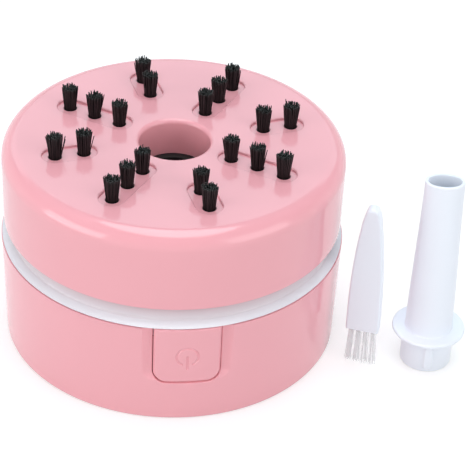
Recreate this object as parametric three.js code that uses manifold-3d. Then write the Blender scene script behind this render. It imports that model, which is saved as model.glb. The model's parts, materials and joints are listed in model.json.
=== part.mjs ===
// Desktop mini vacuum cleaner, standing with its brush face up, its crevice nozzle and cleaning brush beside it.
// Millimetres, +Z up. The origin is on the body's axis, on the surface it stands on. The power button faces -Y.
import * as THREE from 'three';
import { mergeVertices } from 'three/addons/utils/BufferGeometryUtils.js';
import Module from 'manifold-3d';

const wasm = await Module();
wasm.setup();

// Fits shared by all pieces
const clearance = 0.3; // gap between two pieces that touch, screw together or slide
const overrun = 1; // how far a cutting tool runs past the face it cuts
const sink = 0.2; // how far a boss or rib runs into the wall that carries it

// Lower housing
const housingRimDiameter = 86;
const housingTaper = 0.75; // how far the wall leans in from its rim to its foot
const housingHeight = 27.6;
const housingWall = 2;
const housingFloor = 2.2;
const housingFootRound = 0.8;

// Middle frame: the white band, the deck under the fan and the spigot that the head pushes onto
const bandHeight = 5;
const bandLip = 0.5; // straight edge at the foot of the band
const bandInset = 0.4; // how far the band's foot lies inside the housing's rim
const bandCove = 1.9; // depth of the hollow that runs round the band
const spigotRise = 5.1; // height of the spigot above the band
const frameWall = 2.2;
const deckDrop = 4; // from the housing's rim down to the deck's underside
const deckThickness = 2;
const deckSlotMargin = 7.5; // from the spigot's bore to the slots in the deck
const deckSlotWidth = 6;
const deckSlotSpan = 34; // degrees
const frameScrewCount = 3;
const postRibHeight = 10; // above the housing's floor

// Brush head
const headFootInset = 0.65; // how far the head's foot lies inside the housing's rim
const headFlare = 0.15; // how far the head's wall leans out above its foot
const headHeight = 20.65;
const headWall = 2;
const headFace = 2.2; // thickness of the flat face that holds the tufts
const shoulderRound = 4.3;
const headTurn = -34.4; // degrees from +X to the first three-tuft slot

// Suction port in the head
const portDiameter = 17.6;
const portLip = 1.1; // rounding at the port's mouth
const portFilterGap = 1.65; // from the filter up to the port's tube
const portTubeWall = 1.6;
const sealThickness = 1.5;
const sealGrip = 0.1; // how much smaller than the nozzle's collar the seal's bore is
const sealLedge = 1.2; // width of the ledge under the seal
const sealLedgeThickness = 1;

// Ring seal between the spigot and the head
const ringSealSection = 1.1;
const ringSealProud = 0.35;
const ringSealHeight = 2.6; // above the band

// Bristle tufts of the head
const slotCount = 8;
const tuftPortGap = 6.95; // from the port's wall to the innermost tuft's centre
const tuftRimGap = 12.45; // from the head's outside to the outermost tuft's centre
const tuftsInLongSlot = 3;
const tuftBaseDiameter = 2.9;
const tuftTipDiameter = 3.7;
const tuftHeight = 5.5; // above the head's face
const tuftRaggedness = 0.45;
const slotRadius = 3.2;
const slotDepth = 0.6;
const carrierThickness = 1.2;
const carrierWidth = 4.6;
const retainerThickness = 1.2;
const retainerMargin = 3.4; // from the outermost tuft's centre to the retainer's rim
const strandRadius = 0.19;
const strandTipRadius = 0.14;

// Screws
const screwRadius = 1.1;
const screwHeadRadius = 2;
const screwHeadHeight = 1.3;
const screwDriveWidth = 0.6;
const screwDriveDepth = 0.6;
const screwBite = 4; // how far a screw reaches into its boss
const bossWall = 1.6;

// Power button
const buttonWidth = 15.8;
const buttonHeight = 16;
const buttonCorner = 3;
const buttonGap = 0.35;
const buttonPlate = 1.4;
const buttonFlange = 1.2;
const buttonFlangeMargin = 2;
const buttonTravel = 1.2;
const scoopRadius = 3;
const scoopDepth = 0.65;
const pressDrop = 9; // from the housing's rim down to the button's stem, the switch and the symbol
const stemRadius = 2.2;
const stemLength = 4.35;
const symbolRadius = 2.75;
const symbolLine = 0.5;
const symbolDepth = 0.4;
const symbolGap = 64; // degrees left open in the symbol's circle
const symbolBar = 3.6;

// Switch and its board
const switchSize = 7;
const switchDepth = 5.2;
const plungerRadius = 1.5;
const plungerReach = 2.8;
const plungerInside = 2.4;
const boardThickness = 1.6;
const switchBoardWidth = 18;
const railWidth = 3.5;
const railDepth = 6;
const railHeight = 12;

// Motor
const motorDiameter = 20.4;
const motorFlatWidth = 15.4;
const motorFloorGap = 1.2;
const motorCapHeight = 4.2;
const motorCapInset = 0.4;
const motorBossRadius = 3.1;
const motorBossHeight = 1.5;
const motorScrewSpacing = 11;
const motorScrewBite = 2.2;
const terminalLength = 2.6;
const terminalWidth = 2;
const terminalThickness = 0.5;
const shaftRadius = 1;
const shaftInside = 6;

// Fan
const impellerDiameter = 42;
const impellerHeight = 6;
const impellerPlate = 1.2;
const impellerHubRadius = 3.2;
const impellerEyeGap = 3.8; // from the hub to the roots of the blades
const bladeCount = 9;
const bladeThickness = 0.9;
const bladeSweep = 38; // degrees from a blade's root to its tip
const fanGap = 0.8;

// Fan cover with its inlet
const coverThickness = 1.6;
const inletRadius = 12;
const inletHubRadius = 3;
const inletSpokes = 6;
const inletSpokeWidth = 1.2;
const locatingRingHeight = 1.2;
const locatingRingWall = 1.2;

// Filter
const filterScrewGap = 1.2; // from the cover screws' heads to the ring that locates the filter
const filterHeight = 3.4;
const filterWall = 1.8;
const filterFloor = 0.9;
const filterSpokes = 8;
const filterSpokeWidth = 1.4;
const filterHubRadius = 5;
const filterPad = 1.9;

// Battery
const cellPostGap = 1.88; // from the cell's ends to the screw posts
const cellButtonRadius = 2.7;
const cellButtonHeight = 1;
const cellMotorGap = 5.6;
const cradleThickness = 1.6;
const cradleDrop = 3; // from the cell's axis down to the cradle's rim
const cradleFloorGap = 1;
const clipOffset = 10; // from the body's axis to the cradle ribs and the clip, along the cell
const clipWidth = 4.4;
const clipThickness = 1.1;
const clipDrop = 0.6; // from the cell's axis down to the clip's bosses
const clipWallGap = 2.77; // from the clip's outer foot to the housing's wall

// Charging board and socket
const chargeBoardPostGap = 2.25; // from the board's sides to the screw posts
const chargeBoardMotorGap = 6.06; // from the motor to the board's inner edge
const chargeBossHeight = 3.3;
const chargeBossMargin = 3.5; // from the board's sides to its screws
const chargeBossInset = 3.6; // from the board's inner edge to its screws
const socketWidth = 7.6;
const socketHeight = 2.7;
const socketDepth = 5.6;
const socketShell = 0.4;
const socketTongue = 0.6;
const socketRecess = 1.2; // from the housing's outside back to the socket's mouth

// Exhaust vents at the back of the housing
const ventCount = 9;
const ventWidth = 1.6;
const ventHeight = 8;
const ventDrop = 2.2; // from the deck's underside down to the vents' upper ends
const ventPitch = 5.2; // degrees

// Crevice nozzle
const nozzleLength = 53.8;
const collarDiameter = 12.9;
const collarLength = 9.3;
const collarChamfer = 0.35;
const flangeDiameter = 18.4;
const flangeThickness = 1;
const nozzleWall = 0.8;
const tubeDiameter = 11.8;
const nozzleTipWidth = 9.8;
const nozzleTipDepth = 7;
const collarRibWidth = 2;
const collarRibProud = 0.35;
const collarRibInset = 1.2; // from the collar's ends to the rib's ends
const nozzleStandoff = 24.11; // from the housing's rim to the nozzle's axis
const nozzleBearing = -19.14; // degrees from +X, seen from the body's axis
const nozzleTurn = -8; // degrees, so that its rib faces the front

// Cleaning brush
const handleLength = 36.8;
const handleWidth = 8.4;
const handleThickness = 3.2;
const handleBevel = 0.4;
const cleaningBristleLength = 10.4;
const cleaningTufts = 4;
const cleaningTuftDiameter = 1.35;
const cleaningTuftGap = 0.5;
const cleaningTuftFlare = 0.25;
const cleaningStrandRadius = 0.12;
const stripThickness = 1;
const stripMargin = 0.25; // from the outer strands to the strip's edge
const brushStandoff = 8.61; // from the housing's rim to the brush's axis
const brushBearing = -25.97; // degrees from +X, seen from the body's axis
const brushTurn = -22; // degrees, so that its right edge shows from the front

// Facets
const shellSteps = 32;
const discSteps = 24;
const rodSteps = 12;
const screwSteps = 8;
const tuftSteps = 6;
const strandSides = 3;
const arcSteps = 4;
const filletSteps = 2;
const bladeSteps = 5;
const sealSides = 4;

const radians = THREE.MathUtils.degToRad;
const fullTurn = 2 * Math.PI;

// Heights and radii that follow from the sizes above
const rimRadius = housingRimDiameter / 2;
const footRadius = rimRadius - housingTaper;
const bandFoot = housingHeight + clearance;
const bandTop = bandFoot + bandHeight;
const headFoot = bandTop + clearance;
const faceHeight = headFoot + headHeight;
const ceiling = faceHeight - headFace;
const headFootRadius = rimRadius - headFootInset;
const headRadius = headFootRadius + headFlare;
const headBore = headFootRadius - headWall;
const spigotRadius = headBore - clearance - ringSealProud;
const spigotBore = spigotRadius - frameWall;
const spigotTop = bandTop + spigotRise;
const deckBottom = housingHeight - deckDrop;
const deckTop = deckBottom + deckThickness;
const screwHole = screwRadius + clearance;
const bossRadius = screwHole + bossWall;
const portRadius = portDiameter / 2;
const tubeRadius = portRadius + portTubeWall;
const carrierTop = ceiling - clearance;
const carrierBottom = carrierTop - carrierThickness;
const retainerTop = carrierBottom - clearance;
const impellerBottom = deckTop + screwHeadHeight + clearance + fanGap;
const impellerTop = impellerBottom + impellerHeight;
const coverBottom = impellerTop + fanGap;
const coverTop = coverBottom + coverThickness;
const coverRadius = spigotBore - clearance;
const frameBossRadius = spigotBore - bossRadius + sink;
const filterBottom = coverTop + clearance;
const filterRadius = frameBossRadius - screwHeadRadius - filterScrewGap - locatingRingWall - clearance;
const tubeEnd = filterBottom + filterHeight + portFilterGap;
const ledgeTop = tubeEnd + sealLedgeThickness;
const sealTop = ledgeTop + clearance + sealThickness;
const tuftInnerRadius = portRadius + tuftPortGap;
const tuftPitch = (headRadius - tuftRimGap - tuftInnerRadius) / (tuftsInLongSlot - 1);
const tuftRadii = Array.from({ length: tuftsInLongSlot }, (_, i) => tuftInnerRadius + i * tuftPitch);
const pressHeight = housingHeight - pressDrop;
const ventSill = deckBottom - ventDrop - ventHeight;
const motorRadius = motorDiameter / 2;

// The housing's outside radius at a height, from its tapered wall
const outsideRadius = (z) => footRadius + (rimRadius - footRadius) * (z / housingHeight);
const insideRadius = (z) => outsideRadius(z) - housingWall;

// A closed geometry as a solid that can be joined and cut. Triangles that collapsed on an axis are dropped.
function solid(geometry) {
  const bare = geometry.clone();
  bare.deleteAttribute('normal');
  bare.deleteAttribute('uv');
  const merged = mergeVertices(bare);
  const corners = merged.index.array;
  const kept = [];
  for (let i = 0; i < corners.length; i += 3) {
    const [a, b, c] = [corners[i], corners[i + 1], corners[i + 2]];
    if (a !== b && b !== c && c !== a) kept.push(a, b, c);
  }
  return new wasm.Manifold(new wasm.Mesh({
    numProp: 3,
    vertProperties: new Float32Array(merged.attributes.position.array),
    triVerts: new Uint32Array(kept),
  }));
}

// Joins solids in pairs, so that many small ones stay quick
function join(...solids) {
  if (solids.length === 1) return solids[0];
  const middle = Math.ceil(solids.length / 2);
  return join(...solids.slice(0, middle)).add(join(...solids.slice(middle)));
}

const cut = (body, ...tools) => body.subtract(join(...tools));

// The same thing made several times, one for each index
const repeat = (count, make) => Array.from({ length: count }, (_, index) => make(index));

// A solid of revolution about Z from a closed outline of [radius, height] points
function revolve(outline, steps = shellSteps) {
  const points = outline.map(([radius, z]) => new THREE.Vector2(radius, z));
  if (THREE.ShapeUtils.isClockWise(points)) points.reverse();
  points.push(points[0].clone());
  return solid(new THREE.LatheGeometry(points, steps).rotateX(Math.PI / 2));
}

const ring = (outer, inner, bottom, height, steps) => revolve([
  [inner, bottom], [outer, bottom], [outer, bottom + height], [inner, bottom + height],
], steps);

const rod = (radius, height, x, y, bottom, steps = rodSteps) => solid(
  new THREE.CylinderGeometry(radius, radius, height, steps)
    .rotateX(Math.PI / 2)
    .rotateZ(Math.PI / steps)
    .translate(x, y, bottom + height / 2),
);

// A rod along Y, from its front end to its back end
const rodAlongY = (radius, front, back, x, z, steps = rodSteps) => solid(
  new THREE.CylinderGeometry(radius, radius, back - front, steps)
    .translate(x, (front + back) / 2, z),
);

const block = (width, depth, height, x, y, bottom, turn = 0) => solid(
  new THREE.BoxGeometry(width, depth, height)
    .translate(x, y, bottom + height / 2)
    .rotateZ(turn),
);

// A shape drawn in X and Y, raised from a height
const raise = (shape, bottom, height, turn = 0) => solid(
  new THREE.ExtrudeGeometry(shape, { depth: height, bevelEnabled: false, curveSegments: arcSteps })
    .translate(0, 0, bottom)
    .rotateZ(turn),
);

// A shape drawn in X and Z, pushed along Y from its back to its front
const push = (shape, front, back) => solid(
  new THREE.ExtrudeGeometry(shape, { depth: back - front, bevelEnabled: false, curveSegments: arcSteps })
    .rotateX(Math.PI / 2)
    .translate(0, back, 0),
);

// Points on an arc in an outline, from one angle to another, both ends included
const arc = (x, y, radius, from, to, steps = arcSteps) => repeat(steps + 1, (i) => {
  const angle = radians(from + (to - from) * (i / steps));
  return [x + radius * Math.cos(angle), y + radius * Math.sin(angle)];
});

// A bar with round ends along +X, from one centre to another
function roundBar(from, to, radius) {
  const shape = new THREE.Shape();
  shape.absarc(to, 0, radius, -Math.PI / 2, Math.PI / 2);
  shape.absarc(from, 0, radius, Math.PI / 2, 3 * Math.PI / 2);
  return shape;
}

// A stretch of a flat ring between two angles in degrees
function ringStretch(inner, outer, from, to) {
  const shape = new THREE.Shape();
  shape.absarc(0, 0, outer, radians(from), radians(to));
  shape.absarc(0, 0, inner, radians(to), radians(from), true);
  return shape;
}

const polar = (radius, degrees) => [radius * Math.cos(radians(degrees)), radius * Math.sin(radians(degrees))];

// Finishes
const finish = (color, roughness, metalness = 0) => new THREE.MeshStandardMaterial({ color, roughness, metalness });
const pink = finish('#eeb0b6', 0.28);
const white = finish('#eef0f6', 0.35);
const blackNylon = finish('#16161a', 0.6);
const clearNylon = finish('#dfe4ee', 0.4);
const rubber = finish('#1b1516', 0.85);
const steel = finish('#b9bcc2', 0.35, 1);
const zincPlate = finish('#a7aaae', 0.45, 1);
const circuitGreen = finish('#1f6b45', 0.5);
const switchBlack = finish('#222226', 0.55);
const cellSleeve = finish('#3a78b4', 0.4);
const foam = finish('#3b3d42', 0.95);

// A named mesh from a solid
function piece(name, shape, material) {
  const { vertProperties, triVerts } = shape.getMesh();
  const geometry = new THREE.BufferGeometry();
  geometry.setAttribute('position', new THREE.BufferAttribute(vertProperties, 3));
  geometry.setIndex(new THREE.BufferAttribute(triVerts, 1));
  geometry.computeVertexNormals();
  const mesh = new THREE.Mesh(geometry, material);
  mesh.name = name;
  return mesh;
}

function group(...meshes) {
  const made = new THREE.Group();
  made.add(...meshes);
  return made;
}

// A pan-head screw hanging from the underside of its head, with a slot for the driver
function screw(name, shankLength, x, y, seat, upsideDown = false) {
  const shank = rod(screwRadius, shankLength + sink, 0, 0, -shankLength, screwSteps);
  const head = rod(screwHeadRadius, screwHeadHeight, 0, 0, 0, screwSteps);
  const drive = block(2 * (screwHeadRadius + overrun), screwDriveWidth, screwDriveDepth + overrun,
    0, 0, screwHeadHeight - screwDriveDepth);
  const mesh = piece(name, cut(join(shank, head), drive), steel);
  mesh.position.set(x, y, seat);
  if (upsideDown) mesh.rotation.x = Math.PI;
  return mesh;
}

// Lower housing and what is moulded into it

const framePostPlace = spigotBore - bossRadius;
const framePostAngles = repeat(frameScrewCount, (i) => 360 * i / frameScrewCount);
const framePosts = framePostAngles.map((angle) => polar(framePostPlace, angle));
const framePostTop = deckBottom - clearance;

// The cell fills the room between the motor and the clip's outer foot, or the room under the deck if that is less
const clipReach = 2 * clearance + clipThickness + 2 * screwHeadRadius;
const clipOuterX = Math.sqrt((insideRadius(housingFloor) - clipWallGap) ** 2 - (clipOffset + clipWidth / 2) ** 2);
const cellDiameter = Math.min(
  clipOuterX - clipReach - motorRadius - cellMotorGap,
  deckBottom - housingFloor - cradleFloorGap - clipThickness - 2 * clearance,
);
const cellRadius = cellDiameter / 2;
const cellLength = 2 * (framePosts[1][1] - bossRadius - cellPostGap - cellButtonHeight);
const cellX = -(motorRadius + cellMotorGap + cellRadius);
const cellZ = housingFloor + cradleFloorGap + cellRadius;
const saddleRadius = cellRadius + clearance;
const clipRadius = saddleRadius + clipThickness;
const clipBossOffset = clipRadius + screwHeadRadius + clearance;
const clipBossTop = cellZ - clipDrop;
const clipBosses = [-1, 1].map((side) => [cellX + side * clipBossOffset, clipOffset]);

const flangeDepth = housingWall + clearance;
const stemFront = -(outsideRadius(pressHeight) - flangeDepth - buttonFlange / 2);
const plungerTip = stemFront + stemLength + clearance;
const switchFront = plungerTip + plungerReach;
const switchBack = switchFront + switchDepth;
const boardFront = switchBack + clearance;
const boardTop = deckBottom - 2 * clearance;
const boardBottom = housingFloor + clearance;

const chargeBossTop = housingFloor + chargeBossHeight;
const chargeBoardBottom = chargeBossTop + clearance;
const chargeBoardTop = chargeBoardBottom + boardThickness;
const socketBottom = chargeBoardTop + clearance;
const socketMouth = outsideRadius(socketBottom) - socketRecess;
const chargeBoardEdge = socketMouth - socketDepth + boardThickness;
const chargeBoardInner = motorRadius + chargeBoardMotorGap;
const chargeBoardHalfWidth = -framePosts[1][0] - bossRadius - chargeBoardPostGap;
const chargeBosses = [-1, 1].map((side) => [
  side * (chargeBoardHalfWidth - chargeBossMargin), chargeBoardInner + chargeBossInset,
]);

// The button's outline in X and Z: straight sides, round lower corners, open at the housing's rim
function buttonShape(margin, top) {
  const half = buttonWidth / 2 + margin;
  const bottom = housingHeight - buttonHeight - margin;
  const corner = buttonCorner + margin;
  const shape = new THREE.Shape();
  shape.moveTo(half, top);
  shape.lineTo(-half, top);
  shape.absarc(-half + corner, bottom + corner, corner, Math.PI, 3 * Math.PI / 2);
  shape.absarc(half - corner, bottom + corner, corner, 3 * Math.PI / 2, fullTurn);
  shape.closePath();
  return shape;
}

// A tapered shell that follows the housing's wall, between two depths under its outside
const wallShell = (outerDepth, innerDepth, bottom, top) => revolve([
  [outsideRadius(bottom) - innerDepth, bottom],
  [outsideRadius(bottom) - outerDepth, bottom],
  [outsideRadius(top) - outerDepth, top],
  [outsideRadius(top) - innerDepth, top],
]);

function makeHousing() {
  const shell = revolve([
    [0, 0],
    ...arc(footRadius - housingFootRound, housingFootRound, housingFootRound, -90, 0, filletSteps),
    [rimRadius, housingHeight],
    [insideRadius(housingHeight), housingHeight],
    [insideRadius(housingFloor), housingFloor],
    [0, housingFloor],
  ]);
  const floorInside = housingFloor - sink;
  const post = ([x, y], radius, top) => rod(radius, top - floorInside, x, y, floorInside);
  const postRibs = framePostAngles.map((angle) => block(
    insideRadius(housingFloor) + sink - framePostPlace, bossWall, postRibHeight + sink,
    (insideRadius(housingFloor) + sink + framePostPlace) / 2, 0, floorInside, radians(angle),
  ));
  const cradle = (y) => cut(
    block(2 * clipBossOffset, cradleThickness, cellZ - cradleDrop - floorInside, cellX, y, floorInside),
    rodAlongY(saddleRadius, y - cradleThickness, y + cradleThickness, cellX, cellZ),
  );
  const railX = (switchBoardWidth - railWidth) / 2 + clearance + bossWall;
  const railY = boardFront + boardThickness / 2;
  const rails = [-1, 1].map((side) => cut(
    block(railWidth, railDepth, railHeight + sink, side * railX, railY, floorInside),
    block(switchBoardWidth + 2 * clearance, boardThickness + 2 * clearance, railHeight + overrun,
      0, railY, housingFloor),
  ));
  const body = join(
    shell,
    ...framePosts.map((place) => post(place, bossRadius, framePostTop)),
    ...postRibs,
    ...clipBosses.map((place) => post(place, screwHeadRadius, clipBossTop)),
    ...chargeBosses.map((place) => post(place, screwHeadRadius, chargeBossTop)),
    cradle(-clipOffset),
    cradle(clipOffset),
    ...rails,
  );
  const pilot = ([x, y], top) => rod(screwHole, screwBite + clearance + overrun, x, y, top - screwBite - clearance);
  const shallowPilot = ([x, y], top) => rod(screwHole, top - housingFloor + overrun, x, y, housingFloor);
  const window = push(buttonShape(buttonGap, housingHeight + overrun), -(rimRadius + overrun), boardFront);
  const socketCut = block(socketWidth + 2 * clearance, 2 * housingWall + 2 * overrun, socketHeight + 2 * clearance,
    0, outsideRadius(socketBottom) - housingWall / 2, socketBottom - clearance);
  const vents = repeat(ventCount, (i) => block(
    2 * (housingWall + overrun), ventWidth, ventHeight, outsideRadius(ventSill) - housingWall / 2, 0, ventSill,
    radians(90 + (i - (ventCount - 1) / 2) * ventPitch),
  ));
  const scoopX = buttonWidth / 2 + buttonGap;
  const scoopBottom = housingHeight - buttonHeight + buttonCorner;
  const scoopY = -(Math.sqrt(outsideRadius(scoopBottom) ** 2 - scoopX ** 2) + scoopRadius - scoopDepth);
  const scoops = [-1, 1].flatMap((side) => [
    rod(scoopRadius, housingHeight - scoopBottom + overrun, side * scoopX, scoopY, scoopBottom),
    solid(new THREE.SphereGeometry(scoopRadius, rodSteps, rodSteps / 2)
      .rotateX(Math.PI / 2)
      .rotateZ(Math.PI / rodSteps)
      .translate(side * scoopX, scoopY, scoopBottom)),
  ]);
  return cut(
    body,
    ...framePosts.map((place) => pilot(place, framePostTop)),
    ...clipBosses.map((place) => shallowPilot(place, clipBossTop)),
    ...chargeBosses.map((place) => shallowPilot(place, chargeBossTop)),
    window,
    socketCut,
    ...vents,
    ...scoops,
  );
}

// Power button: a curved plate flush with the wall, a flange behind the wall and a stem to the switch

const flangeTop = deckBottom - 2 * clearance;

function makeButton() {
  const front = -(rimRadius + overrun);
  const plate = push(buttonShape(0, housingHeight), front, 0)
    .intersect(wallShell(0, buttonPlate, 0, housingHeight));
  const neck = push(buttonShape(0, flangeTop), front, 0)
    .intersect(wallShell(buttonPlate - sink, flangeDepth + buttonFlange, 0, housingHeight));
  const flange = push(buttonShape(buttonFlangeMargin, flangeTop), front, 0)
    .intersect(wallShell(flangeDepth, flangeDepth + buttonFlange, 0, housingHeight));
  const stem = rodAlongY(stemRadius, stemFront, plungerTip - clearance, 0, pressHeight);
  const symbolFloor = -(outsideRadius(pressHeight) - symbolDepth);
  const circle = new THREE.Shape();
  const open = radians(symbolGap / 2);
  const lowest = -Math.PI / 2;
  circle.absarc(0, pressHeight, symbolRadius + symbolLine / 2, lowest + open, lowest + fullTurn - open);
  circle.absarc(0, pressHeight, symbolRadius - symbolLine / 2, lowest + fullTurn - open, lowest + open, true);
  const line = block(symbolLine, symbolDepth + overrun, symbolBar, 0, symbolFloor + (symbolDepth - overrun) / 2 - sink,
    pressHeight - symbolBar);
  const symbol = solid(new THREE.ExtrudeGeometry(circle, {
    depth: symbolDepth + overrun, bevelEnabled: false, curveSegments: 2 * arcSteps,
  }).rotateX(Math.PI / 2).translate(0, symbolFloor, 0));
  return cut(join(plate, neck, flange, stem), symbol, line);
}

const makePlunger = () => rodAlongY(plungerRadius, plungerTip, switchFront + plungerInside, 0, pressHeight);

const makeSwitchBody = () => cut(
  block(switchSize, switchDepth, switchSize, 0, (switchFront + switchBack) / 2, pressHeight - switchSize / 2),
  rodAlongY(plungerRadius + clearance, switchFront - overrun, switchFront + plungerInside + buttonTravel + clearance,
    0, pressHeight),
);

const makeSwitchBoard = () => block(switchBoardWidth, boardThickness, boardTop - boardBottom,
  0, boardFront + boardThickness / 2, boardBottom);

// Motor, hung under the deck by two screws

const motorTop = deckBottom - clearance;
const motorCapBottom = housingFloor + motorFloorGap;
const motorCapTop = motorCapBottom + motorCapHeight;
const motorBottom = motorCapTop + clearance;
const motorScrews = [-1, 1].map((side) => [0, side * motorScrewSpacing / 2]);

const flatSided = (radius, flatWidth, bottom, height) => rod(radius, height, 0, 0, bottom, discSteps)
  .intersect(block(flatWidth, 2 * radius, height, 0, 0, bottom));

const makeMotorCan = () => cut(
  join(
    flatSided(motorRadius, motorFlatWidth, motorBottom, motorTop - motorBottom),
    rod(motorBossRadius, motorBossHeight + clearance + sink, 0, 0, motorTop - sink, rodSteps),
  ),
  rod(shaftRadius + clearance, shaftInside + motorBossHeight + clearance + overrun, 0, 0, motorTop - shaftInside),
  ...motorScrews.map(([x, y]) => rod(screwHole, motorScrewBite + clearance + overrun,
    x, y, motorTop - motorScrewBite - clearance)),
);

function makeMotorCap() {
  const radius = motorRadius - motorCapInset;
  const flatWidth = motorFlatWidth - 2 * motorCapInset;
  const terminals = [-1, 1].map((side) => block(terminalLength + sink, terminalWidth, terminalThickness,
    side * (flatWidth + terminalLength - sink) / 2, 0, motorCapBottom + motorCapHeight / 2));
  return join(flatSided(radius, flatWidth, motorCapBottom, motorCapHeight), ...terminals);
}

const makeShaft = () => rod(shaftRadius, impellerTop - motorTop + shaftInside - clearance,
  0, 0, motorTop - shaftInside + clearance);

// Impeller: a back plate, a hub and swept blades

function bladeShape() {
  const eye = impellerHubRadius + impellerEyeGap;
  const tip = impellerDiameter / 2 - bladeThickness;
  const spine = new THREE.SplineCurve(repeat(bladeSteps + 1, (i) => {
    const share = i / bladeSteps;
    return new THREE.Vector2(...polar(eye + (tip - eye) * share, -bladeSweep * share * share));
  }));
  const side = (offset) => repeat(bladeSteps + 1, (i) => {
    const tangent = spine.getTangent(i / bladeSteps);
    return spine.getPoint(i / bladeSteps).add(new THREE.Vector2(-tangent.y, tangent.x).multiplyScalar(offset));
  });
  return new THREE.Shape([...side(-bladeThickness / 2), ...side(bladeThickness / 2).reverse()]);
}

function makeImpeller() {
  const plate = rod(impellerDiameter / 2, impellerPlate, 0, 0, impellerBottom, discSteps);
  const hub = rod(impellerHubRadius, impellerHeight, 0, 0, impellerBottom);
  const bladeBottom = impellerBottom + impellerPlate - sink;
  const blades = repeat(bladeCount, (i) => raise(bladeShape(), bladeBottom, impellerTop - bladeBottom,
    fullTurn * i / bladeCount));
  const bore = rod(shaftRadius + clearance, impellerHeight + 2 * overrun, 0, 0, impellerBottom - overrun);
  return cut(join(plate, hub, ...blades), bore);
}

// Middle frame: band, deck and spigot in one moulding

const coverPosts = framePostAngles.map((angle) => polar(frameBossRadius, angle + 180 / frameScrewCount));
const grooveDepth = ringSealSection - ringSealProud + clearance;
const grooveMiddle = bandTop + ringSealHeight;
const grooveHalf = ringSealSection / 2 + clearance;

function makeFrame() {
  const bandRadius = rimRadius - bandInset;
  const coveFoot = bandFoot + bandLip;
  const cove = repeat(arcSteps + 1, (i) => {
    const angle = Math.PI / 2 * (i / arcSteps);
    return [bandRadius - bandCove * Math.sin(angle), coveFoot + (bandTop - coveFoot) * (1 - Math.cos(angle))];
  });
  const holeRadius = motorBossRadius + clearance;
  const moulding = revolve([
    [holeRadius, deckBottom],
    [spigotRadius, deckBottom],
    [spigotRadius, bandFoot],
    [bandRadius, bandFoot],
    ...cove,
    [spigotRadius, bandTop],
    [spigotRadius, grooveMiddle - grooveHalf],
    [spigotRadius - grooveDepth, grooveMiddle - grooveHalf],
    [spigotRadius - grooveDepth, grooveMiddle + grooveHalf],
    [spigotRadius, grooveMiddle + grooveHalf],
    [spigotRadius, spigotTop],
    [spigotBore, spigotTop],
    [spigotBore, deckTop],
    [holeRadius, deckTop],
  ]);
  const posts = coverPosts.map(([x, y]) => rod(bossRadius, coverBottom - clearance - deckTop + sink,
    x, y, deckTop - sink));
  const slotOuter = spigotBore - deckSlotMargin;
  const deckSlots = repeat(2 * frameScrewCount, (i) => raise(
    ringStretch(slotOuter - deckSlotWidth, slotOuter, -deckSlotSpan / 2, deckSlotSpan / 2),
    deckBottom - overrun, deckThickness + 2 * overrun, fullTurn * (i + 1 / 2) / (2 * frameScrewCount),
  ));
  const deckHole = ([x, y]) => rod(screwHole, deckThickness + 2 * overrun, x, y, deckBottom - overrun);
  const pilots = coverPosts.map(([x, y]) => rod(screwHole, screwBite + clearance + overrun,
    x, y, coverBottom - 2 * clearance - screwBite));
  return cut(
    join(moulding, ...posts),
    ...deckSlots,
    ...framePosts.map(deckHole),
    ...motorScrews.map(deckHole),
    ...pilots,
  );
}

function makeRingSeal() {
  const middle = spigotRadius + ringSealProud - ringSealSection / 2;
  return revolve(arc(middle, grooveMiddle, ringSealSection / 2, 0, 360 - 360 / sealSides, sealSides - 1));
}

// Fan cover: a plate over the fan with the inlet grille and a ring that locates the filter

function makeCover() {
  const hole = ring(inletRadius, inletHubRadius, coverBottom - overrun, coverThickness + 2 * overrun, discSteps);
  const spokes = repeat(inletSpokes, (i) => block(
    inletRadius - inletHubRadius + 2 * sink, inletSpokeWidth, coverThickness,
    (inletRadius + inletHubRadius) / 2, 0, coverBottom, fullTurn * i / inletSpokes,
  ));
  const locator = ring(filterRadius + clearance + locatingRingWall, filterRadius + clearance,
    coverTop - sink, locatingRingHeight + sink, shellSteps);
  const plate = cut(
    rod(coverRadius, coverThickness, 0, 0, coverBottom, shellSteps),
    hole,
    ...coverPosts.map(([x, y]) => rod(screwHole, coverThickness + 2 * overrun, x, y, coverBottom - overrun)),
  );
  return join(plate, locator, ...spokes);
}

// Filter: a lift-out ring with spokes that holds a foam pad

function makeFilterFrame() {
  const bore = filterRadius - filterWall;
  const wall = ring(filterRadius, bore, filterBottom, filterHeight, shellSteps);
  const hub = rod(filterHubRadius, filterFloor, 0, 0, filterBottom);
  const spokes = repeat(filterSpokes, (i) => block(
    bore - filterHubRadius + 2 * sink, filterSpokeWidth, filterFloor, (bore + filterHubRadius) / 2, 0, filterBottom,
    fullTurn * i / filterSpokes,
  ));
  return join(wall, hub, ...spokes);
}

const makeFilterPad = () => rod(filterRadius - filterWall - clearance, filterPad,
  0, 0, filterBottom + filterFloor + clearance, shellSteps);

// Brush head: the upper shell with the port and the tuft slots, drawn with its first slot along +X

const slots = repeat(slotCount, (i) => ({
  angle: 360 * i / slotCount,
  radii: i % 2 === 0 ? tuftRadii : tuftRadii.slice(1),
}));
// Each tuft carrier as its first slot and its number of slots, with a screw past its last slot
const carriers = [[0, 3], [3, 3], [6, 2]];
const retainerScrews = carriers.map(([first, count]) => polar(tuftRadii[1], 360 * (first + count - 1 / 2) / slotCount));
const retainerScrewBite = carrierThickness + clearance + headFace / 2;
const postRadius = tuftBaseDiameter / 2 / Math.cos(Math.PI / tuftSteps);

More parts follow.
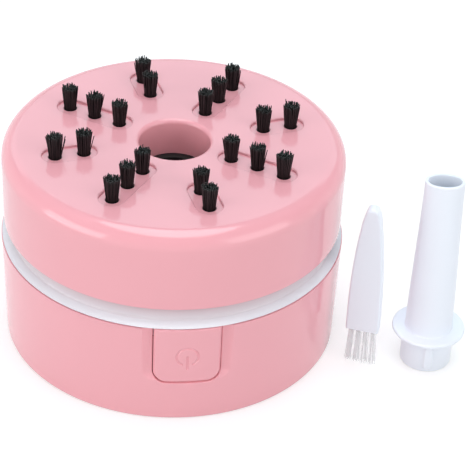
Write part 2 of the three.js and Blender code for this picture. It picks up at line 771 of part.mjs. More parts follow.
function makeHead() {
  const shoulder = headRadius - shoulderRound;
  const innerRound = shoulderRound - headWall;
  const ceilingCorner = headRadius - headWall - innerRound;
  const shell = revolve([
    [headBore, headFoot],
    [headFootRadius, headFoot],
    ...arc(shoulder, faceHeight - shoulderRound, shoulderRound, 0, 90, arcSteps),
    ...arc(portRadius + portLip, faceHeight - portLip, portLip, 90, 180, filletSteps),
    [portRadius, ledgeTop],
    [portRadius - sealLedge, ledgeTop],
    [portRadius - sealLedge, tubeEnd],
    [tubeRadius, tubeEnd],
    [tubeRadius, ceiling],
    ...arc(ceilingCorner, ceiling - innerRound, innerRound, 90, 0, filletSteps),
  ]);
  const bosses = retainerScrews.map(([x, y]) => rod(bossRadius, ceiling - carrierBottom + sink, x, y, carrierBottom));
  const slotCuts = slots.map(({ angle, radii }) => raise(
    roundBar(radii[0], radii.at(-1), slotRadius), faceHeight - slotDepth, slotDepth + overrun, radians(angle),
  ));
  const tuftHoles = slots.flatMap(({ angle, radii }) => radii.map((radius) => {
    const [x, y] = polar(radius, angle);
    return rod(postRadius + clearance, headFace + 2 * overrun, x, y, ceiling - overrun, tuftSteps);
  }));
  const pilots = retainerScrews.map(([x, y]) => rod(screwHole, retainerScrewBite + clearance + overrun,
    x, y, carrierBottom - overrun));
  return cut(join(shell, ...bosses), ...slotCuts, ...tuftHoles, ...pilots);
}

const makePortSeal = () => ring(portRadius - clearance, collarDiameter / 2 - sealGrip,
  sealTop - sealThickness, sealThickness, discSteps);

// One bristle: a tapered prism from a root to a tip
function strand(root, tip, rootRadius, tipRadius) {
  const corner = (centre, radius, k) => {
    const angle = fullTurn * k / strandSides;
    return [centre[0] + radius * Math.cos(angle), centre[1] + radius * Math.sin(angle), centre[2]];
  };
  const [low, high] = root[2] < tip[2] ? [root, tip] : [tip, root];
  const [lowRadius, highRadius] = root[2] < tip[2] ? [rootRadius, tipRadius] : [tipRadius, rootRadius];
  const points = [
    ...repeat(strandSides, (k) => corner(low, lowRadius, k)),
    ...repeat(strandSides, (k) => corner(high, highRadius, k)),
  ];
  const faces = [];
  for (let k = 0; k < strandSides; k += 1) {
    const next = (k + 1) % strandSides;
    faces.push(k, next, strandSides + next, k, strandSides + next, strandSides + k);
    if (k > 0 && k < strandSides - 1) faces.push(0, k + 1, k, strandSides, strandSides + k, strandSides + k + 1);
  }
  const geometry = new THREE.BufferGeometry();
  geometry.setAttribute('position', new THREE.Float32BufferAttribute(points.flat(), 3));
  geometry.setIndex(faces);
  return solid(geometry);
}

// Places of the strands in a tuft, as shares of its radius: one in the middle, then two rings
const innerRingShare = 0.42;
const outerRingShare = 0.84;
const innerRingStrands = 4;
const outerRingStrands = 8;
const strandPlaces = [
  [0, 0],
  ...repeat(innerRingStrands, (i) => polar(innerRingShare, 360 * i / innerRingStrands)),
  ...repeat(outerRingStrands, (i) => polar(outerRingShare, 360 * (i + 1 / 2) / outerRingStrands)),
];

// A repeatable unevenness between -1 and 1 for the length of a strand
const unevenness = (tuft, index) => Math.sin(2.4 * index + 1.7 * tuft) * Math.cos(0.9 * index + 2.3 * tuft);

// A carrier under the face: bars below its slots, a curved strip that joins them, and the tufts on their posts
function makeHeadTufts([first, count]) {
  const mine = slots.slice(first, first + count);
  const bars = mine.map(({ angle, radii }) => raise(
    roundBar(radii[0], radii.at(-1), carrierWidth / 2), carrierBottom, carrierThickness, radians(angle),
  ));
  const stripMiddle = (tuftRadii[1] + tuftRadii[2]) / 2;
  const strip = raise(
    ringStretch(stripMiddle - carrierWidth / 2, stripMiddle + carrierWidth / 2, mine[0].angle, mine.at(-1).angle),
    carrierBottom, carrierThickness,
  );
  const postTop = faceHeight - slotDepth + sink;
  const tufts = mine.flatMap(({ angle, radii }, slot) => radii.map((radius, place) => {
    const [x, y] = polar(radius, angle);
    const post = rod(postRadius, postTop - carrierTop + sink, x, y, carrierTop - sink, tuftSteps);
    const rootSpread = tuftBaseDiameter / 2 - strandRadius / 2;
    const tipSpread = tuftTipDiameter / 2;
    const number = tuftsInLongSlot * (first + slot) + place;
    const strands = strandPlaces.map(([u, v], index) => strand(
      [x + u * rootSpread, y + v * rootSpread, postTop - sink],
      [x + u * tipSpread, y + v * tipSpread, faceHeight + tuftHeight + tuftRaggedness * unevenness(number, index)],
      strandRadius, strandTipRadius,
    ));
    return join(post, ...strands);
  }));
  return join(...bars, strip, ...tufts);
}

const retainerRadius = tuftRadii[2] + retainerMargin;

const makeRetainer = () => cut(
  ring(retainerRadius, tubeRadius + clearance, retainerTop - retainerThickness, retainerThickness, shellSteps),
  ...retainerScrews.map(([x, y]) => rod(screwHole, retainerThickness + 2 * overrun,
    x, y, retainerTop - retainerThickness - overrun)),
);

// Battery cell, held in its cradle by a clip

const makeCell = () => join(
  rodAlongY(cellRadius, -cellLength / 2, cellLength / 2, cellX, cellZ),
  rodAlongY(cellButtonRadius, cellLength / 2 - sink, cellLength / 2 + cellButtonHeight, cellX, cellZ),
);

function makeClip() {
  const footBottom = clipBossTop + clearance;
  const front = clipOffset - clipWidth / 2;
  const back = clipOffset + clipWidth / 2;
  const hoop = cut(
    rodAlongY(clipRadius, front, back, cellX, cellZ, discSteps),
    rodAlongY(saddleRadius, front - overrun, back + overrun, cellX, cellZ, discSteps),
    block(2 * clipRadius + overrun, clipWidth + 2 * overrun, clipRadius + overrun,
      cellX, clipOffset, footBottom - clipRadius - overrun),
  );
  const footWidth = clipBossOffset + screwHeadRadius - saddleRadius - clearance;
  const feet = [-1, 1].map((side) => block(footWidth, clipWidth, clipThickness,
    cellX + side * (saddleRadius + clearance + footWidth / 2), clipOffset, footBottom));
  const holes = clipBosses.map(([x, y]) => rod(screwHole, clipThickness + 2 * overrun, x, y, footBottom - overrun));
  return cut(join(hoop, ...feet), ...holes);
}

// Charging board on two bosses, with its socket in the housing's back wall

const makeChargeBoard = () => cut(
  block(2 * chargeBoardHalfWidth, chargeBoardEdge - chargeBoardInner, boardThickness,
    0, (chargeBoardInner + chargeBoardEdge) / 2, chargeBoardBottom),
  ...chargeBosses.map(([x, y]) => rod(screwHole, boardThickness + 2 * overrun, x, y, chargeBoardBottom - overrun)),
);

function makeSocket() {
  const middle = socketMouth - socketDepth / 2;
  const pocket = block(socketWidth - 2 * socketShell, socketDepth, socketHeight - 2 * socketShell,
    0, middle + 2 * socketShell, socketBottom + socketShell);
  const tongue = block(socketWidth / 2, socketDepth - 2 * socketShell, socketTongue,
    0, middle, socketBottom + (socketHeight - socketTongue) / 2);
  return join(cut(block(socketWidth, socketDepth, socketHeight, 0, middle, socketBottom), pocket), tongue);
}

// Crevice nozzle: a round collar and flange, and a tube that flattens towards its tip

// A closed wall through rows of [height, half width, half depth], each row an oval ring of points
function loftedWall(rows, steps) {
  const positions = rows.flatMap(([z, halfWidth, halfDepth]) => repeat(steps, (k) => {
    const angle = fullTurn * k / steps;
    return [halfWidth * Math.cos(angle), halfDepth * Math.sin(angle), z];
  }));
  const faces = [];
  rows.forEach((_, row) => {
    const above = (row + 1) % rows.length;
    for (let k = 0; k < steps; k += 1) {
      const next = (k + 1) % steps;
      faces.push(row * steps + k, row * steps + next, above * steps + next);
      faces.push(row * steps + k, above * steps + next, above * steps + k);
    }
  });
  const geometry = new THREE.BufferGeometry();
  geometry.setAttribute('position', new THREE.Float32BufferAttribute(positions.flat(), 3));
  geometry.setIndex(faces);
  return solid(geometry);
}

function makeNozzle() {
  const collar = collarDiameter / 2;
  const flange = flangeDiameter / 2;
  const tube = tubeDiameter / 2;
  const flangeTopZ = collarLength + flangeThickness;
  const edge = collarChamfer;
  // How far the tube has narrowed and flattened at a share of its height, eased at both ends
  const eased = (share) => share * share * (3 - 2 * share);
  const tubeRow = (share, inset) => [
    flangeTopZ + (nozzleLength - flangeTopZ) * share,
    tube + (nozzleTipWidth / 2 - tube) * eased(share) - inset,
    tube + (nozzleTipDepth / 2 - tube) * eased(share) - inset,
  ];
  const rowShares = [0, 0.25, 0.5, 0.75];
  const [tipZ, tipX, tipY] = tubeRow(1, 0);
  const [, boreX, boreY] = tubeRow(1, nozzleWall);
  const wall = loftedWall([
    [0, collar - edge, collar - edge],
    [edge, collar, collar],
    [collarLength, collar, collar],
    [collarLength, flange - edge, flange - edge],
    [collarLength + flangeThickness / 2, flange, flange],
    [flangeTopZ, flange - edge, flange - edge],
    [flangeTopZ, tube + edge, tube + edge],
    ...rowShares.map((share) => tubeRow(share + (share === 0 ? edge / nozzleLength : 0), 0)),
    [tipZ - edge, tipX, tipY],
    [tipZ, tipX - edge, tipY - edge],
    [tipZ, boreX, boreY],
    ...rowShares.toReversed().map((share) => tubeRow(share, nozzleWall)),
    [0, collar - nozzleWall, collar - nozzleWall],
  ], discSteps);
  const ribShape = roundBar(collarRibInset + collarRibWidth / 2, collarLength - collarRibInset - collarRibWidth / 2,
    collarRibWidth / 2);
  const rib = solid(new THREE.ExtrudeGeometry(ribShape, {
    depth: collarRibProud + nozzleWall / 2, bevelEnabled: false, curveSegments: arcSteps,
  }).rotateZ(Math.PI / 2).rotateX(Math.PI / 2).translate(0, -collar + nozzleWall / 2, 0));
  return join(wall, rib);
}

// Cleaning brush: a flat tapered handle with a slot for the strip that carries the tufts

// Half widths of the handle up its length, each as [share of the length, share of the half width]
const handleOutlineShares = [[0, 1], [0.2, 0.99], [0.4, 0.94], [0.6, 0.83], [0.8, 0.64], [0.95, 0.42], [1, 0.26]];
const cleaningTuftPitch = cleaningTuftDiameter + cleaningTuftGap;
const stripLength = (cleaningTufts - 1) * cleaningTuftPitch + cleaningTuftDiameter + 2 * stripMargin;
const stripDepth = cleaningTuftDiameter + 2 * stripMargin;

function makeHandle() {
  const half = handleWidth / 2;
  const side = (sign) => handleOutlineShares.map(([up, across]) => new THREE.Vector2(
    sign * (half * across - handleBevel),
    cleaningBristleLength + handleBevel + (handleLength - 2 * handleBevel) * up,
  ));
  const outline = new THREE.Shape([...side(1), ...side(-1).reverse()]);
  const handle = solid(new THREE.ExtrudeGeometry(outline, {
    depth: handleThickness - 2 * handleBevel,
    bevelSize: handleBevel,
    bevelThickness: handleBevel,
    bevelSegments: 1,
  }).rotateX(Math.PI / 2).translate(0, handleThickness / 2 - handleBevel, 0));
  return cut(handle, block(stripLength + 2 * clearance, stripDepth + 2 * clearance,
    stripThickness + clearance + overrun, 0, 0, cleaningBristleLength - overrun));
}

function makeCleaningTufts() {
  const strip = block(stripLength, stripDepth, stripThickness, 0, 0, cleaningBristleLength);
  const tufts = repeat(cleaningTufts, (tuft) => {
    const place = tuft - (cleaningTufts - 1) / 2;
    const x = place * cleaningTuftPitch;
    const spread = cleaningTuftDiameter / 2;
    return join(...strandPlaces.map(([u, v], index) => strand(
      [x + u * spread, v * spread, cleaningBristleLength + sink],
      [x + place * cleaningTuftFlare + u * spread, v * spread, clearance * (1 + unevenness(tuft, index)) / 2],
      cleaningStrandRadius, cleaningStrandRadius,
    )));
  });
  return join(strip, ...tufts);
}

// Assembly

const housingGroup = group(
  piece('motor_housing', makeHousing(), pink),
  piece('power_button', makeButton(), pink),
  piece('switch_plunger', makePlunger(), white),
  piece('switch_body', makeSwitchBody(), switchBlack),
  piece('switch_board', makeSwitchBoard(), circuitGreen),
  piece('charge_board', makeChargeBoard(), circuitGreen),
  piece('charge_socket', makeSocket(), zincPlate),
  piece('battery_cell', makeCell(), cellSleeve),
  piece('battery_clip', makeClip(), white),
  ...clipBosses.map(([x, y], i) => screw(`clip_screw_${i + 1}`, screwBite,
    x, y, clipBossTop + clipThickness + 2 * clearance)),
  ...chargeBosses.map(([x, y], i) => screw(`board_screw_${i + 1}`, chargeBossHeight + boardThickness,
    x, y, chargeBoardTop + clearance)),
);

const driveGroup = group(
  piece('middle_frame', makeFrame(), white),
  ...framePosts.map(([x, y], i) => screw(`frame_screw_${i + 1}`, deckThickness + screwBite,
    x, y, deckTop + clearance)),
  piece('motor_can', makeMotorCan(), zincPlate),
  piece('motor_end_cap', makeMotorCap(), switchBlack),
  ...motorScrews.map(([x, y], i) => screw(`motor_screw_${i + 1}`, deckThickness + clearance + motorScrewBite,
    x, y, deckTop + clearance)),
  piece('motor_shaft', makeShaft(), steel),
  piece('impeller', makeImpeller(), white),
  piece('fan_cover', makeCover(), white),
  ...coverPosts.map(([x, y], i) => screw(`cover_screw_${i + 1}`, coverThickness + screwBite,
    x, y, coverTop + clearance)),
  piece('filter_frame', makeFilterFrame(), white),
  piece('filter_pad', makeFilterPad(), foam),
  piece('ring_seal', makeRingSeal(), rubber),
);

const headGroup = group(
  piece('brush_head', makeHead(), pink),
  piece('port_seal', makePortSeal(), rubber),
  ...carriers.map((carrier, i) => piece(`head_tufts_${i + 1}`, makeHeadTufts(carrier), blackNylon)),
  piece('tuft_retainer', makeRetainer(), white),
  ...retainerScrews.map(([x, y], i) => screw(`retainer_screw_${i + 1}`, retainerThickness + retainerScrewBite,
    x, y, retainerTop - retainerThickness - clearance, true)),
);
headGroup.rotation.z = radians(headTurn);

const nozzleGroup = group(piece('crevice_nozzle', makeNozzle(), white));
nozzleGroup.position.set(...polar(rimRadius + nozzleStandoff, nozzleBearing), 0);
nozzleGroup.rotation.z = radians(nozzleTurn);

const brushGroup = group(
  piece('brush_handle', makeHandle(), white),
  piece('cleaning_tufts', makeCleaningTufts(), clearNylon),
);
brushGroup.position.set(...polar(rimRadius + brushStandoff, brushBearing), 0);
brushGroup.rotation.z = radians(brushTurn);

const vacuumCleaner = group(housingGroup, driveGroup, headGroup, nozzleGroup, brushGroup);

export default vacuumCleaner;
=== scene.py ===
# Desktop mini vacuum cleaner with its brush face up, its crevice nozzle and cleaning brush beside it.
# Fine surfaces and finishes round the packed frame, in metres, +Z up, with the power button facing -Y.
import json

import bmesh
import bpy
import numpy as np
from bpy.props import FloatProperty, FloatVectorProperty, IntProperty, PointerProperty
from mathutils import Matrix, Vector


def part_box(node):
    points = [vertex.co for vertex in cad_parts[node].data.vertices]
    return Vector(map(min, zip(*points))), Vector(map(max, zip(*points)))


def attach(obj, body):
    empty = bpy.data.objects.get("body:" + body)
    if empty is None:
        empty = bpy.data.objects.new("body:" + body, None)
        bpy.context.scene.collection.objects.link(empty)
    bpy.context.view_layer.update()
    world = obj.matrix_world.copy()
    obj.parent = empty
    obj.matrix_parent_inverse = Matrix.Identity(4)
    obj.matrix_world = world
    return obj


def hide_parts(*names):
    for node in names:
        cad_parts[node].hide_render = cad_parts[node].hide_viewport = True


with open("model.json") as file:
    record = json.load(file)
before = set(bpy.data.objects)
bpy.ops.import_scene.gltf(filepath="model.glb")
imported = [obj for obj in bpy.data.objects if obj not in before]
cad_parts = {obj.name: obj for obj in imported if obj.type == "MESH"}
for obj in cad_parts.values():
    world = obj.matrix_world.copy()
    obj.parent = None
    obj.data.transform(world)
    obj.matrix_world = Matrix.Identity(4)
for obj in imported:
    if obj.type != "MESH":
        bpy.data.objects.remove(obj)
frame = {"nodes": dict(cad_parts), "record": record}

bl_info = {
    "name": "Desktop vacuum cleaner",
    "version": (1, 0, 0),
    "blender": (4, 5, 0),
    "location": "View3D > Sidebar > Vacuum",
    "description": "Builds the shells, bristles and finishes of a desktop vacuum cleaner on its frame",
    "category": "Object",
}

MM = 0.001
WELD = 0.0002 * MM
FULL_TURN = 2 * np.pi
GOLDEN_ANGLE = np.pi * (3 - np.sqrt(5))


def span(node):
    """Lowest and highest corner of a frame node as arrays."""
    low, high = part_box(node)
    return np.array(low), np.array(high)


# Levels and radii that come from the frame
RIM_RADIUS, _, RIM_HEIGHT = span("motor_housing")[1]
DECK_BOTTOM, SPIGOT_TOP = [corner[2] for corner in span("middle_frame")]
HEAD_FOOT, FACE_HEIGHT = [corner[2] for corner in span("brush_head")]
SEAL_BOTTOM, SEAL_TOP = [corner[2] for corner in span("port_seal")]
RING_SEAL_MIDDLE = sum(corner[2] for corner in span("ring_seal")) / 2
RING_SEAL_RADIUS = span("ring_seal")[1][0]
NOZZLE_PLACE = sum(span("crevice_nozzle"))[:2] / 2
NOZZLE_LENGTH = span("crevice_nozzle")[1][2]
HANDLE_PLACE = sum(span("brush_handle"))[:2] / 2
HANDLE_BOTTOM, HANDLE_TOP = [corner[2] for corner in span("brush_handle")]
STEM_END = span("switch_plunger")[0][1]
CELL_PLACE = (sum(span("battery_cell")) / 2)[[0, 2]]
CELL_RADIUS = (span("battery_cell")[1] - span("battery_cell")[0])[2] / 2
COVER_BOTTOM = span("fan_cover")[0][2]

# Columns of round forms, and steps of small and larger roundings
RING_COLUMNS, SMALL_RING_COLUMNS, HUB_COLUMNS, BOSS_COLUMNS, SMALL_COLUMNS = 512, 192, 96, 48, 24
COARSE_STEPS, BEND_STEPS, EDGE_STEPS, ROUND_STEPS, FILLET_STEPS = 3, 4, 5, 6, 8
# Largest angle in degrees that is shaded smooth, and the bearings of pieces that stand in threes
CREASE = 32
THIRDS = np.array([0, 120, 240])
# How far a form runs into its neighbour, a cutter past its piece, and how far a bar stays inside a face
SINK, OVERRUN, FACE_INSET = 0.2 * MM, MM, 0.02 * MM
# Gap from the wall to the button's flange, and the slope at the mouth of a boss
WALL_GAP, BOSS_EDGE = 0.3 * MM, 0.15 * MM


def chosen(group):
    """The scene's settings of a group."""
    return getattr(bpy.context.scene, f"vacuum_{group}")


# Sizes and colours that a user would change


def length(name, description, millimetres):
    """A size for a property group."""
    return FloatProperty(name=name, description=description, default=millimetres * MM, min=0, precision=5,
                         unit="LENGTH", subtype="DISTANCE")


def number(name, description, default):
    """A number of like pieces for a property group."""
    return IntProperty(name=name, description=description, default=default, min=1)


def angle(name, description, degrees):
    """An angle for a property group."""
    return FloatProperty(name=name, description=description, default=np.radians(degrees), subtype="ANGLE")


def linear(code):
    """A colour written as six hexadecimal digits of sRGB, as linear red, green and blue."""
    share = np.array([int(code[i:i + 2], 16) for i in (0, 2, 4)]) / 255
    low_share, slope, offset, gamma = 0.04045, 12.92, 0.055, 2.4
    return tuple(np.where(share <= low_share, share / slope, ((share + offset) / (1 + offset)) ** gamma))


def colour(name, description, code):
    """A colour for a property group."""
    return FloatVectorProperty(name=name, description=description, default=linear(code), size=3,
                               min=0, max=1, subtype="COLOR")


class HousingSizes(bpy.types.PropertyGroup):
    """The lower housing's wall and its openings."""
    taper: length("Taper", "How far the wall leans in from its rim to its foot", 0.75)
    wall: length("Wall", "Thickness of the wall", 2)
    floor: length("Floor", "Thickness of the floor", 2.2)
    foot_round: length("Foot round", "Rounding where the wall meets the underside", 0.8)
    edge: length("Edge", "Rounding along the openings", 0.25)
    window_gap: length("Window gap", "Gap round the power button", 0.35)
    scoop_radius: length("Scoop radius", "Radius of the finger scoops beside the button", 3.6)
    scoop_depth: length("Scoop depth", "Depth of the scoops at their lower end", 0.85)
    vent_count: number("Vents", "Number of exhaust vents", 9)
    vent_width: length("Vent width", "Width of one vent", 1.6)
    vent_height: length("Vent height", "Height of one vent", 8)
    vent_drop: length("Vent drop", "From the deck's underside down to the vents", 2.2)
    vent_corner: length("Vent corner", "Corner radius of a vent", 0.5)
    vent_pitch: angle("Vent pitch", "Angle from one vent to the next", 5.2)
    socket_margin: length("Socket margin", "Gap round the charging socket", 0.3)
    socket_corner: length("Socket corner", "Corner radius of the socket's opening", 0.8)


class InnerSizes(bpy.types.PropertyGroup):
    """The bosses, ribs, cradle and rails inside the shells."""
    boss: length("Boss", "Radius of the bosses that join the shells", 3)
    small_boss: length("Small boss", "Radius of the bosses for the battery clip and the charging board", 2)
    hole: length("Hole", "Radius of the screw holes", 1.4)
    frame_ring: length("Frame ring", "Radius at which the housing's bosses stand", 34.5)
    frame_gap: length("Frame gap", "From the deck down to the housing's bosses", 0.3)
    cover_ring: length("Cover ring", "Radius at which the fan cover's bosses stand", 34.7)
    cover_gap: length("Cover gap", "From the fan cover down to its bosses", 0.3)
    motor_ring: length("Motor ring", "Radius at which the motor's screws pass the deck", 5.5)
    retainer_ring: length("Retainer ring", "Radius at which the retainer's bosses stand", 22.9)
    bite: length("Bite", "Depth of the screw holes in the bosses", 4.3)
    rib: length("Rib", "Thickness of the ribs", 1.6)
    rib_height: length("Rib height", "Height of the ribs above the floor", 10)
    clip_reach: length("Clip reach", "From the cell's axis to the clip's bosses", 10.7)
    clip_place: length("Clip place", "From the body's axis to the cradle ribs, along the cell", 10)
    clip_drop: length("Clip drop", "From the cell's axis down to the clip's bosses", 0.6)
    cradle_drop: length("Cradle drop", "From the cell's axis down to the cradle's rim", 3)
    cradle_gap: length("Cradle gap", "Gap round the cell in its cradle", 0.3)
    charge_boss: length("Charging bosses", "Height of the charging board's bosses above the floor", 3.3)
    charge_half: length("Charging half", "From the middle to a boss of the charging board", 8.5)
    charge_place: length("Charging place", "From the body's axis back to those bosses", 19.86)
    rail_reach: length("Rail reach", "From the middle to a rail's outer side", 10.9)
    rail_width: length("Rail width", "Width of a rail for the switch board", 3.5)
    rail_depth: length("Rail depth", "Depth of a rail", 6)
    rail_height: length("Rail height", "Height of a rail above the floor", 12)
    slot_inner: length("Slot inner", "Inner radius of the deck's slots", 24)
    slot_outer: length("Slot outer", "Outer radius of the deck's slots", 30)
    slot_span: angle("Slot span", "Angle that one of the deck's slots takes up", 34)


class FanSizes(bpy.types.PropertyGroup):
    """The fan wheel, its cover and the filter."""
    edge: length("Edge", "Slope along the edges of these pieces", 0.12)
    plate: length("Plate", "Thickness of the fan wheel's plate", 1.2)
    hub: length("Hub", "Radius of the fan wheel's hub", 3.2)
    bore: length("Bore", "Radius of the hole in the hub", 1.3)
    eye: length("Eye", "From the hub to the roots of the blades", 3.8)
    blade: length("Blade", "Thickness of a blade", 0.9)
    sweep: angle("Sweep", "Angle from a blade's root to its tip", 38)
    blades: number("Blades", "Number of blades", 9)
    cover: length("Cover", "Thickness of the fan cover", 1.6)
    inlet: length("Inlet", "Radius of the inlet", 12)
    inlet_hub: length("Inlet hub", "Radius of the inlet's hub", 3)
    inlet_spoke: length("Inlet spoke", "Width of the inlet's spokes", 1.2)
    inlet_spokes: number("Inlet spokes", "Number of spokes in the inlet", 6)
    locator: length("Locator", "Thickness of the ring that locates the filter", 1.2)
    filter_gap: length("Filter gap", "Gap round the filter's frame", 0.3)
    filter_wall: length("Filter wall", "Thickness of the filter's ring", 1.8)
    filter_floor: length("Filter floor", "Thickness of the filter's spokes", 0.9)
    filter_hub: length("Filter hub", "Radius of the filter's hub", 5)
    filter_spoke: length("Filter spoke", "Width of the filter's spokes", 1.4)
    filter_spokes: number("Filter spokes", "Number of spokes in the filter", 8)


class ButtonSizes(bpy.types.PropertyGroup):
    """The power button and the symbol sunk into it."""
    width: length("Width", "Width of the button", 15.8)
    height: length("Height", "Height from the housing's rim down", 16)
    corner: length("Corner", "Radius of the lower corners", 3)
    edge: length("Edge", "Rounding of the button's outer edge", 0.55)
    shelf: length("Shelf", "How far the plate widens below its edge", 0.2)
    plate: length("Plate", "Thickness of the button's plate", 1.4)
    neck_inset: length("Neck inset", "How far the neck lies inside the plate", 0.3)
    flange: length("Flange", "Thickness of the flange behind the wall", 1.2)
    flange_margin: length("Flange margin", "How far the flange reaches past the plate", 2)
    flange_drop: length("Flange drop", "From the deck down to the flange's upper edge", 0.6)
    press_drop: length("Press drop", "From the rim down to the stem", 9)
    stem_radius: length("Stem radius", "Radius of the stem behind the plate", 2.2)
    stem_gap: length("Stem gap", "Gap from the stem to the switch's plunger", 0.3)
    symbol_drop: length("Symbol drop", "From the rim down to the symbol's middle", 8.2)
    symbol_radius: length("Symbol radius", "Radius of the symbol's circle", 2.6)
    symbol_line: length("Symbol line", "Width of the symbol's lines", 0.5)
    symbol_depth: length("Symbol depth", "Depth of the symbol's lines", 0.24)
    symbol_bar: length("Symbol bar", "Length of the symbol's bar", 3.6)
    symbol_gap: angle("Symbol gap", "Part of the circle left open", 64)


class BandSizes(bpy.types.PropertyGroup):
    """The white band, the deck and the spigot."""
    gap: length("Gap", "Gap between the shells and the band", 0.2)
    inset: length("Inset", "How far the band's foot lies inside the housing's rim", 0.2)
    lip: length("Lip", "Straight edge at the band's foot", 0.5)
    cove: length("Cove", "Depth of the hollow round the band", 2.3)
    ledge: length("Ledge", "Rise of the ledge between the band's foot and its wall", 0.7)
    fillet: length("Fillet", "Rounding between the ledge and the wall", 0.5)
    edge: length("Edge", "Rounding of the band's and the spigot's edges", 0.2)
    spigot_radius: length("Spigot radius", "Outer radius of the spigot", 39.7)
    wall: length("Spigot wall", "Thickness of the spigot's wall", 2.2)
    deck: length("Deck", "Thickness of the deck", 2)
    deck_hole: length("Deck hole", "Radius of the hole round the motor's boss", 3.4)
    groove: length("Groove", "Height of the groove for the ring seal", 1.7)
    groove_depth: length("Groove depth", "Depth of the groove", 1.05)
    seal_radius: length("Seal radius", "Radius of the ring seal's section", 0.55)


class HeadSizes(bpy.types.PropertyGroup):
    """The brush head's shell, its port and its slots."""
    radius: length("Radius", "Outer radius of the head", 42.5)
    flare: length("Flare", "How far the wall leans in towards its foot", 0.15)
    wall: length("Wall", "Thickness of the wall", 2)
    face: length("Face", "Thickness of the face that holds the tufts", 2.2)
    shoulder: length("Shoulder", "Rounding between the face and the wall", 4.3)
    foot_edge: length("Foot edge", "Rounding at the head's foot", 0.2)
    port_radius: length("Port radius", "Radius of the suction port", 8.8)
    port_lip: length("Port lip", "Rounding at the port's mouth", 1.1)
    port_wall: length("Port wall", "Thickness of the port's tube", 1.6)
    seal_gap: length("Seal gap", "Gap round the port's seal", 0.3)
    ledge: length("Ledge", "Width of the ledge under the seal", 1.2)
    ledge_thickness: length("Ledge thickness", "Thickness of that ledge", 1)
    slot_radius: length("Slot radius", "Half the width of a tuft slot", 3.2)
    slot_depth: length("Slot depth", "Depth of a tuft slot", 0.6)
    slot_edge: length("Slot edge", "Rounding along a slot", 0.42)
    tuft_inner: length("Inner tuft", "Radius at which the innermost tufts stand", 15.75)
    tuft_pitch: length("Tuft pitch", "Distance from one tuft to the next in a slot", 7.15)
    tuft_hole: length("Tuft hole", "Radius of the hole round a tuft's post", 1.72)
    turn: angle("Turn", "Turn of the first slot from +X", -34.4)


class TuftSizes(bpy.types.PropertyGroup):
    """The bristle tufts of the head and their carriers."""
    post_radius: length("Post radius", "Radius of the post that a tuft stands in", 1.6)
    base_radius: length("Base radius", "Radius of a tuft where it leaves its post", 1.4)
    tip_radius: length("Tip radius", "Radius of a tuft at its tip", 1.98)
    height: length("Height", "Height of the tufts above the face", 5.5)
    ragged: length("Raggedness", "How much the filaments' lengths differ", 0.42)
    filament: length("Filament", "Radius of one filament", 0.12)
    filaments: number("Filaments", "Filaments in one tuft", 120)
    carrier: length("Carrier", "Thickness of a tuft carrier", 1.2)
    carrier_width: length("Carrier width", "Width of a carrier's bars", 4.6)
    carrier_gap: length("Carrier gap", "Gap between the face and the carriers", 0.3)


class NozzleSizes(bpy.types.PropertyGroup):
    """The crevice nozzle."""
    turn: angle("Turn", "Turn about its own axis", -8)
    collar_radius: length("Collar radius", "Radius of the collar", 6.45)
    collar_length: length("Collar length", "Length of the collar", 9.3)
    flange_radius: length("Flange radius", "Radius of the flange", 9.2)
    flange: length("Flange", "Thickness of the flange", 1)
    tube_radius: length("Tube radius", "Radius of the tube above the flange", 5.9)
    tip_width: length("Tip width", "Width of the tube at its tip", 9.8)
    tip_depth: length("Tip depth", "Depth of the tube at its tip", 7)
    wall: length("Wall", "Thickness of the wall", 0.8)
    edge: length("Edge", "Rounding of the edges", 0.35)
    rib_width: length("Rib width", "Width of the rib on the collar", 2.1)
    rib_proud: length("Rib height", "How far the rib stands proud", 0.7)
    rib_inset: length("Rib inset", "From the collar's ends to the rib", 1.2)


class BrushSizes(bpy.types.PropertyGroup):
    """The cleaning brush."""
    turn: angle("Turn", "Turn about its own axis", -22)
    width: length("Width", "Width of the handle", 8.4)
    thickness: length("Thickness", "Thickness of the handle", 3.2)
    corner: length("Corner", "Rounding along the handle's edges", 0.55)
    slot_width: length("Slot width", "Width of the slot for the bristle strip", 8)
    tuft_pitch: length("Tuft pitch", "Distance between the tufts", 1.85)
    tuft_radius: length("Tuft radius", "Radius of a tuft", 0.78)
    tuft_splay: length("Splay", "Radius of a tuft at its tips", 0.98)
    tuft_flare: length("Flare", "How far a tuft leans out for each place from the middle", 0.2)
    strip: length("Strip", "Thickness of the strip that carries the tufts", 1)
    strip_margin: length("Strip margin", "From the outer filaments to the strip's edge", 0.25)
    filament: length("Filament", "Radius of one filament", 0.09)
    filaments: number("Filaments", "Filaments in one tuft", 16)
    tufts: number("Tufts", "Number of tufts", 4)


class Finishes(bpy.types.PropertyGroup):
    """The colours of the mouldings, bristles and inner parts."""
    # Painted shade and painted pink reflection of the shells, laid on the wall of the band's hollow under the
    # head
    band_painted_shade: colour("Band shade", "Tone at the top of the band's hollow", "E4CDCE")
    pink: colour("Pink plastic", "Colour of the head, the housing and the button", "F2ACB5")
    white: colour("White plastic", "Colour of the band", "EAEDF3")
    bright_white: colour("Bright white", "Colour of the nozzle and the brush handle", "F1F6FF")
    inner: colour("Inner plastic", "Colour of the inner mouldings", "E4E5E8")
    bristle: colour("Black nylon", "Colour of the head's bristles", "0B080A")
    # Painted highlight: the paler tone the bristles take by height at their tips
    bristle_tip_highlight: colour("Bristle tips", "Colour of the cut ends of the bristles", "2C302F")
    clear_bristle: colour("Clear nylon", "Colour of the cleaning brush's bristles", "FAFBFD")
    rubber: colour("Rubber", "Colour of the seals", "0C0A0B")
    steel: colour("Screw steel", "Colour of the screws", "BEC1C6")
    motor_steel: colour("Motor steel", "Colour of the motor's can", "A9ACB0")
    board: colour("Circuit board", "Colour of the boards", "1C6A42")
    black: colour("Black plastic", "Colour of the switch and the end cap", "1D1D20")
    sleeve: colour("Cell sleeve", "Colour of the battery's sleeve", "2F6FB0")
    foam: colour("Foam", "Colour of the filter pad", "1C1C1F")


